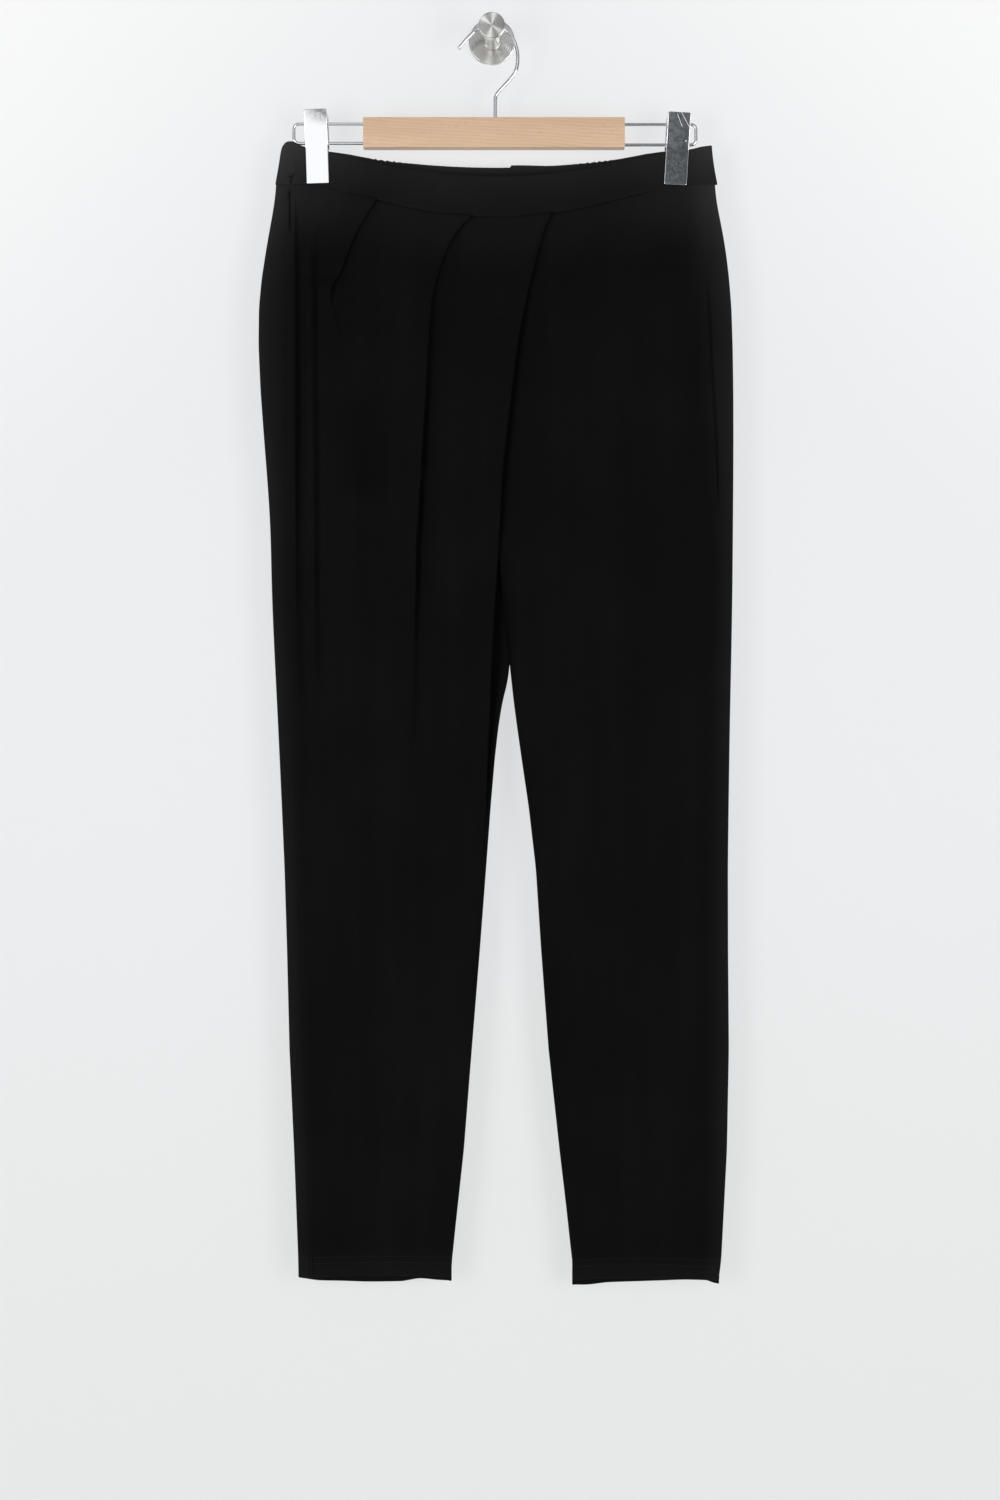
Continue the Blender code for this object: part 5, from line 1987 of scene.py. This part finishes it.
@dataclass
class Hanger:
    """The wooden bar, its wire hook and the two slide rods."""

    form: Form
    hook_wire: float = 0.00175
    hook_bends: tuple[Place, ...] = mm(-29.4, 11.4, -23.2, 3.8, -13.4, -5.8, -5.2, -9.4, 4.5, -9.5,
                                       14, -4.2, 20.8, 5.6, 23.9, 18, 22.4, 31.6, 17.4, 38.8, 8, 48.8,
                                       4.4, 52.6, 3, 56.6, 3, 63)
    rod_wire: float = 0.0015
    rod_corner: float = 0.0045
    bar_edge: float = 0.0006

    def build(self) -> None:
        """Make the hanger's pieces."""
        wire = Chrome("wire_chrome", roughness=0.06, mottle=0.03).material()
        self.build_bar()
        self.build_hook(wire)
        for side in Side:
            self.build_rod(side, wire)

    def build_bar(self) -> None:
        """Make the wooden bar, with its edges only just broken."""
        low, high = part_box("hanger_bar")
        bm = bmesh.new()
        bmesh.ops.create_cube(bm, size=1.0)
        bmesh.ops.scale(bm, vec=high - low, verts=bm.verts)
        bmesh.ops.translate(bm, vec=(low + high) / 2, verts=bm.verts)
        bmesh.ops.bevel(bm, geom=bm.edges[:], offset=self.bar_edge, segments=3, profile=0.5, affect="EDGES")
        dress(finish_bmesh(bm, "beech_bar", Beech().material(), 20), "beech", "hanger_bar")

    def hung(self, flat: Array) -> Array:
        """Return (X, Z) points as places in the hanging plane."""
        return np.insert(flat, 1, self.form.hang_y, axis=1)

    def build_hook(self, wire: Material) -> None:
        """Bend the hook: tip, arc over the post, slanting run and stem."""
        low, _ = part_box("hanger_hook")
        flat = np.array([(x, -drop) for x, drop in self.hook_bends] + [(self.hook_bends[-1][0], low.z)])
        for _ in range(3):
            ahead = flat[1:] - flat[:-1]
            cut = np.stack([flat[:-1] + 0.25 * ahead, flat[:-1] + 0.75 * ahead], axis=1).reshape(-1, 2)
            flat = np.concatenate([flat[:1], cut[1:-1], flat[-1:]])
        dress(swept("hook_wire", self.hung(flat), self.hook_wire, wire, 20), "chrome", "hanger_hook")

    def build_rod(self, side: Side, wire: Material) -> None:
        """Bend one slide rod: out of the bar, round its end and back in.

        Args:
            side: The rod's side.
            wire: Its finish.
        """
        low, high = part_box(f"slide_rod_{side.label}")
        start_x, end_x = (low.x, high.x) if side is Side.LEFT else (high.x, low.x)
        top, bottom = high.z - self.rod_wire, low.z + self.rod_wire
        corner_x = end_x - side.value * (self.rod_wire + self.rod_corner)
        turns = np.radians(np.linspace(90, 0, 8))
        across, up = side.value * self.rod_corner * np.cos(turns), self.rod_corner * np.sin(turns)
        upper = np.stack([corner_x + across, top - self.rod_corner + up], axis=1)
        lower = np.stack([upper[::-1, 0], top + bottom - upper[::-1, 1]], axis=1)
        flat = np.concatenate([[(start_x, top)], upper, lower, [(start_x, bottom)]])
        stem = f"slide_rod_{side.label}"
        dress(swept(stem + "_wire", self.hung(flat), self.rod_wire, wire, round_ends=False), "chrome", stem)


@dataclass
class Clip:
    """One sprung clip: two pressed plates with ears round the slide rods, and a coil between them."""

    form: Form
    side: Side
    tilt: float
    width: float
    plating: Chrome
    scratches: tuple[Scratch, ...] = ()
    metal: float = 0.0011
    jaw_height: float = 0.032
    lean: float = math.radians(9)
    corner: float = 0.0017
    jaw_gap: float = 0.00245
    soft_bend: float = 0.0025
    rim_inset: float = 0.00015
    bend_step: float = 0.0011
    flat_step: float = 0.004
    ear_metal: float = 0.0009
    ear_edge: float = 0.00035
    ear_sunk: float = 0.0004
    ear_past_rods: float = 0.0022
    ear_outset: float = 0.0001
    ear_nesting: float = 0.0014
    ear_shift: float = 0.0016
    spring_drop: float = 0.013
    leg_spread: float = 0.004
    leg_sunk: float = 0.0009
    coil_play: float = 0.001
    raised: Place = (0.0, 0.0)

    def __post_init__(self) -> None:
        """Read where the clip sits, and its plates' ends before they are tilted."""
        low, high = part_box(f"clip_{self.side.label}_front")
        rod_low, rod_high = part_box(f"slide_rod_{self.side.label}")
        self.x = (low.x + high.x) / 2
        over = math.sin(abs(self.tilt)) * self.width / 2
        self.top, self.bottom = over - high.z - self.raised[0], -low.z - over - self.raised[1]
        self.rod_drop = -(rod_low.z + Hanger.rod_wire)
        self.upper_rod_drop = -(rod_high.z - Hanger.rod_wire)

    def plate_offset(self, drop: float) -> float:
        """Return how far the plate's inner face stands off the hanging plane."""
        above = (self.bottom - self.jaw_height - drop) / self.soft_bend
        leaning = math.log1p(math.exp(above)) if above < 20 else above
        return self.jaw_gap + math.tan(self.lean) * leaning * self.soft_bend

    def outline(self) -> list[Place]:
        """Return the plate's flat outline, (X, drop), with rounded corners."""
        half, top, bottom = self.width / 2 - self.corner, self.top + self.corner, self.bottom - self.corner
        points = []
        for start, x, drop in ((-90, half, top), (0, half, bottom), (90, -half, bottom), (180, -half, top)):
            for turn in range(start, start + 91, 15):
                angle = math.radians(turn)
                points.append((x + self.corner * math.cos(angle), drop + self.corner * math.sin(angle)))
        return points

    def placed(self, bm: BMesh, facing: Facing) -> None:
        """Bend a flat form to the clip's shape and tilt it.

        Args:
            bm: The form, as (X, drop, distance from the plate's inner face). It is changed in place.
            facing: The plate that it belongs to.
        """
        for vertex in bm.verts:
            x, drop, out = vertex.co
            y = self.form.hang_y + facing.value * (self.plate_offset(drop) + out)
            vertex.co = Vector((self.x + x, y, -drop))
        turn = Matrix.Rotation(self.tilt, 3, "Y")
        bmesh.ops.rotate(bm, cent=(self.x, self.form.hang_y, -self.rod_drop), matrix=turn, verts=bm.verts)

    def build_plate(self, facing: Facing, material: Material) -> None:
        """Press one plate, with its rim turned in, and fold its ears.

        Args:
            facing: Which plate it is.
            material: Its finish.
        """
        bm = bmesh.new()
        face = bm.faces.new([bm.verts.new((x, drop, 0.0)) for x, drop in self.outline()])
        grown = bmesh.ops.extrude_face_region(bm, geom=[face])
        raised = [item for item in grown["geom"] if isinstance(item, BMVert)]
        bmesh.ops.translate(bm, vec=(0, 0, self.metal), verts=raised)
        upper = set(raised)
        rim = [edge for edge in bm.edges if upper.issuperset(edge.verts)]
        bmesh.ops.bevel(bm, geom=rim, offset=self.metal * 0.55, segments=4, profile=0.5, affect="EDGES")
        for broad in sorted(bm.faces, key=lambda flat: flat.calc_area())[-2:]:
            bmesh.ops.inset_region(bm, faces=[broad], thickness=self.rim_inset)
        drops = [self.bottom - self.jaw_height + step * self.bend_step for step in range(-9, 10)]
        drops += [self.top + self.flat_step + step * self.flat_step for step in range(4)]
        for drop in drops:
            whole = bm.verts[:] + bm.edges[:] + bm.faces[:]
            bmesh.ops.bisect_plane(bm, geom=whole, plane_co=(0, drop, 0), plane_no=(0, 1, 0),
                                   dist=MERGE_DISTANCE)
        self.placed(bm, facing)
        bmesh.ops.triangulate(bm, faces=[face for face in bm.faces if len(face.verts) > 4])
        stem = f"clip_{self.side.label}_{facing.label}"
        dress(finish_bmesh(bm, stem + "_plate", material, 40), "chrome", stem)
        self.build_ears(facing, material, stem)

    def build_ears(self, facing: Facing, material: Material, stem: str) -> None:
        """Fold the two ears that hold the rods, those of the back plate outside those of the front.

        Args:
            facing: The plate that they belong to.
            material: Their finish.
            stem: Start of the piece's name.
        """
        outset = self.ear_outset if facing is Facing.BACK else -self.ear_nesting
        points = [(self.top + 0.0035, self.ear_sunk)]
        for drop in (self.upper_rod_drop - 0.0035, self.rod_drop + 0.003):
            points.append((drop, -self.ear_past_rods - self.plate_offset(drop)))
        points.append((self.rod_drop + 0.0062, self.ear_sunk))
        bm = bmesh.new()
        for sign in (-1, 1):
            x = sign * (self.width / 2 + outset - (self.ear_shift if sign == self.side.value else 0.0))
            inner = [bm.verts.new((x, drop, out)) for drop, out in points]
            outer = [bm.verts.new((x + sign * self.ear_metal, drop, out)) for drop, out in points]
            bm.faces.new(inner)
            bm.faces.new(outer)
            close_between(bm, inner, outer)
        bmesh.ops.recalc_face_normals(bm, faces=bm.faces)
        bmesh.ops.bevel(bm, geom=bm.edges[:], offset=self.ear_edge, segments=2, profile=0.5, affect="EDGES")
        self.placed(bm, facing)
        dress(finish_bmesh(bm, stem + "_ears", material, 40), "chrome")

    def build(self) -> None:
        """Make both plates and the spring."""
        platings = {
            Facing.FRONT: self.plating.material(self.scratches),
            Facing.BACK: Chrome(f"{self.side.label}_clip_back_chrome").material(),
        }
        for facing in Facing:
            self.build_plate(facing, platings[facing])
        low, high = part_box(f"clip_{self.side.label}_spring")
        centre = (low + high) / 2
        steel = Steel(f"{self.side.label}_spring_steel", roughness=0.2).material()
        drop = self.rod_drop - self.spring_drop
        reach = self.plate_offset(drop) - self.leg_sunk
        legs = [Vector((centre.x + facing.value * self.leg_spread,
                        self.form.hang_y + facing.value * reach, -drop)) for facing in Facing]
        length = high.x - low.x - self.coil_play
        coil = SpringCoil().build(f"clip_{self.side.label}_coil", centre, length, legs, steel)
        dress(coil, "steel", f"clip_{self.side.label}_spring")


@dataclass
class WallHook:
    """The round wall hook: base plate, post and cap, all turned and brushed, with painted highlights on the
    steel.
    """

    shaft: float = 0.0073
    most_flare: float = 0.0082

    def build(self) -> None:
        """Turn the three pieces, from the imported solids' sizes."""
        low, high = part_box("wall_plate")
        # The base plate: painted glints downwards from the post and a painted lighter lower right side.
        base = Steel("base_steel", (0.36, 0.355, 0.34), roughness=0.26, glints=(-98.0, -60.0),
                     glint_share=0.75, glint_power=50.0, lit_from=-25.0)
        profile = ((0, 0), (high.x, 0), (high.x, -low.y), (0, -low.y))
        self.build_part("base_plate", "wall_plate", profile, (0, 0.0004, 0.0011, 0), base)
        low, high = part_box("wall_post")
        foot, flare, shaft = -high.y, min(high.x, self.most_flare), self.shaft
        profile = ((0, foot), (flare, foot), (flare - 0.0003, foot + 0.0005), (shaft + 0.0002, foot + 0.003),
                   (shaft, foot + 0.01), (shaft, -low.y), (0, -low.y))
        # The post's glints are painted highlights.
        steel = Steel("post_steel", (0.55, 0.54, 0.52), glints=(78.0, -64.0), glint_share=0.7,
                      glint_power=18.0)
        self.build_part("post", "wall_post", profile, (0, 0.0003, 0.0004, 0.002, 0.002, 0.0003, 0), steel)
        low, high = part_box("wall_cap")
        profile = ((0, -high.y), (high.x, -high.y), (high.x, -low.y), (0, -low.y))
        # The cap's crossing glints are painted highlights.
        steel = Steel("cap_steel", (0.37, 0.365, 0.345), glints=(-37.0, 79.0), glint_share=0.95)
        self.build_part("cap", "wall_cap", profile, (0, 0.0008, 0.0008, 0), steel)

    @staticmethod
    def build_part(name: str, node: str, profile: Sequence[Place], rounds: Sequence[float],
                   steel: Steel) -> None:
        """Turn one piece from its profile, with rounded corners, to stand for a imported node."""
        dress(turned(name, rounded(profile, rounds), steel.material()), "steel", node)


# ---- Studio ---------------------------------------------------------------------------------------

def add_flat(name: str, corners: Sequence[Triple], material: Material) -> Object:
    """Add a four-cornered face to the stage."""
    mesh = bpy.data.meshes.new(name)
    mesh.from_pydata(corners, [], [(0, 1, 2, 3)])
    made = add_object(name, mesh, material)
    return made


@dataclass(frozen=True)
class Lamp:
    """A soft rectangular lamp, aimed at a height on the Z axis."""

    name: str
    place: Triple
    aim: float
    size: Place
    power: float

    def build(self) -> None:
        """Hang the lamp."""
        light = bpy.data.lights.new(self.name, "AREA")
        light.shape = "RECTANGLE"
        light.size, light.size_y = self.size
        light.energy = self.power
        made = bpy.data.objects.new(self.name, light)
        made.location = self.place
        ray = Vector((0, 0, self.aim)) - Vector(self.place)
        made.rotation_euler = ray.to_track_quat("-Z", "Y").to_euler()
        bpy.context.scene.collection.objects.link(made)


@dataclass(frozen=True)
class Card:
    """A studio card that only reflections see: white to brighten metal, dark to shade it."""

    name: str
    low: Triple
    high: Triple
    colour: Colour
    strength: float

    def build(self) -> None:
        """Put the card up, seen by glossy rays alone."""
        surface = Surface(self.name)
        glow = surface.add("ShaderNodeEmission", inputs={"Color": self.colour, "Strength": self.strength})
        material = surface.put_out(glow)
        (x0, y0, z0), (x1, y1, z1) = self.low, self.high
        y_second, y_last = (y1, y0) if x0 == x1 else (y0, y1)
        corners = ((x0, y0, z0), (x1, y_second, z0), (x1, y1, z1), (x0, y_last, z1))
        card = add_flat(self.name, corners, material)
        for ray in ("camera", "diffuse", "shadow", "transmission", "volume_scatter"):
            setattr(card, f"visible_{ray}", False)


@dataclass
class Studio:
    """The wall and floor, the lamps and the camera."""

    eye: Triple = (0.0073, -2.324, -0.6434)
    lens: float = 61.32
    floor_drop: float = 1.42
    wall_gap: float = 0.0004
    wall_top: float = 1.6
    reach: float = 3.0

    def build(self) -> None:
        """Set up everything round the part."""
        self.build_wall()
        self.build_lamps()
        self.build_world()
        self.build_camera()
        bpy.context.scene.view_settings.view_transform = "Standard"

    def build_wall(self) -> None:
        """Put up the painted wall and lay the floor."""
        # Painted lighter top, middle and painted darker bottom colours of the wall, which also glows at 0.78.
        tones = ((0.955, 0.962, 0.957), (0.83, 0.84, 0.856), (0.78, 0.794, 0.79))
        wall_paint = Paint("wall_paint", *tones, 0.78, see_through_behind=True)
        floor_paint = Paint("floor_paint", *(((0.8, 0.8, 0.8),) * 3), see_through_behind=True)
        r, low, y, top = self.reach, -self.floor_drop, self.wall_gap, self.wall_top
        add_flat("wall", ((-r, y, low), (r, y, low), (r, y, top), (-r, y, top)), wall_paint.material())
        corners = ((-r, -2 * r, low), (r, -2 * r, low), (r, r, low), (-r, r, low))
        add_flat("floor", corners, floor_paint.material())

    def build_lamps(self) -> None:
        """Light the part evenly from both sides, and softly from behind for the rear views."""
        ends = (("left", -1), ("right", 1))
        for end, sign in ends:
            Lamp(f"{end}_lamp", (sign * 1.55, -1.95, -0.7), -0.62, (0.9, 1.5), 27.0).build()
        for end, sign in ends:
            Lamp(f"back_{end}_lamp", (sign * 1.6, 2.2, 0.2), -0.55, (1.2, 1.2), 26.0).build()
        dusk = (0.48, 0.54, 0.8)
        Card("bright_card", (-0.9, -2.6, -0.95), (-0.21, -2.6, 0.9), (1.0, 1.0, 1.0), 1.2).build()
        Card("dark_card", (0.21, -2.6, -0.95), (0.95, -2.6, 0.9), (0.64, 0.75, 0.84), 0.085).build()
        Card("top_dark_card", (-2.0, -1.4, 1.2), (2.0, -0.05, 1.2), dusk, 0.1).build()
        Card("low_dark_card", (-2.0, -1.2, -1.41), (2.0, -0.05, -1.41), dusk, 0.12).build()
        for end, sign in ends:
            Card(f"{end}_dark_card", (sign * 1.9, -2.0, -1.4), (sign * 1.9, -0.02, 1.5), dusk, 0.12).build()

    @staticmethod
    def build_world() -> None:
        """Make a pale surround, which lights the part only a little."""
        world = bpy.data.worlds.new("studio")
        world.use_nodes = True
        bpy.context.scene.world = world
        nodes = Nodes(world.node_tree)
        nodes.tree.nodes.clear()
        path = nodes.add("ShaderNodeLightPath").outputs
        seen = Value(nodes, path["Is Camera Ray"]).larger(Value(nodes, path["Is Glossy Ray"]))
        seen = seen.larger(Value(nodes, path["Is Transmission Ray"]))
        glow = nodes.add("ShaderNodeBackground", inputs={0: (0.9, 0.905, 0.91), 1: seen * 0.62 + 0.3})
        nodes.add("ShaderNodeOutputWorld", inputs={0: glow})

    def build_camera(self) -> None:
        """Stand the camera level with the middle of the frame, square to the wall."""
        data = bpy.data.cameras.new("camera")
        data.lens = self.lens
        data.sensor_width = 36.0
        data.clip_start, data.clip_end = 0.05, 50.0
        camera = bpy.data.objects.new("camera", data)
        camera.location = self.eye
        camera.rotation_euler = (math.radians(90), 0.0, 0.0)
        bpy.context.scene.collection.objects.link(camera)
        bpy.context.scene.camera = camera


def main() -> None:
    """Build the studio, the garment and what it hangs from."""
    logging.basicConfig(level=logging.INFO, format="%(name)s %(message)s")
    Studio().build()
    form = Form()
    Leggings(form).build()
    Hanger(form).build()
    scratches = (
        Scratch((0.1664, 0.0726), (0.171, 0.084)),
        Scratch((0.1702, 0.0716), (0.1772, 0.0842)),
        Scratch((0.1742, 0.0958), (0.1748, 0.097), 0.0005),
    )
    # The right clip's plating, with a painted shade over its upper inner corner, broken up by random
    # mottling.
    worn = Chrome("right_clip_chrome", roughness=0.07, mottle=0.2, tarnish=0.24, spread=0.75,
                  worn_at=(-0.149, 0.0685))
    dull = Chrome("left_clip_chrome", (0.93, 0.945, 0.965), roughness=0.07, mottle=0.12, tarnish=0.42)
    Clip(form, Side.RIGHT, math.radians(-1.8), 0.0205, worn, raised=(0.0015, 0.0021)).build()
    Clip(form, Side.LEFT, math.radians(3.2), 0.0207, dull, scratches, raised=(0.0011, 0.0019)).build()
    WallHook().build()


if __name__ == "__main__":
    main()
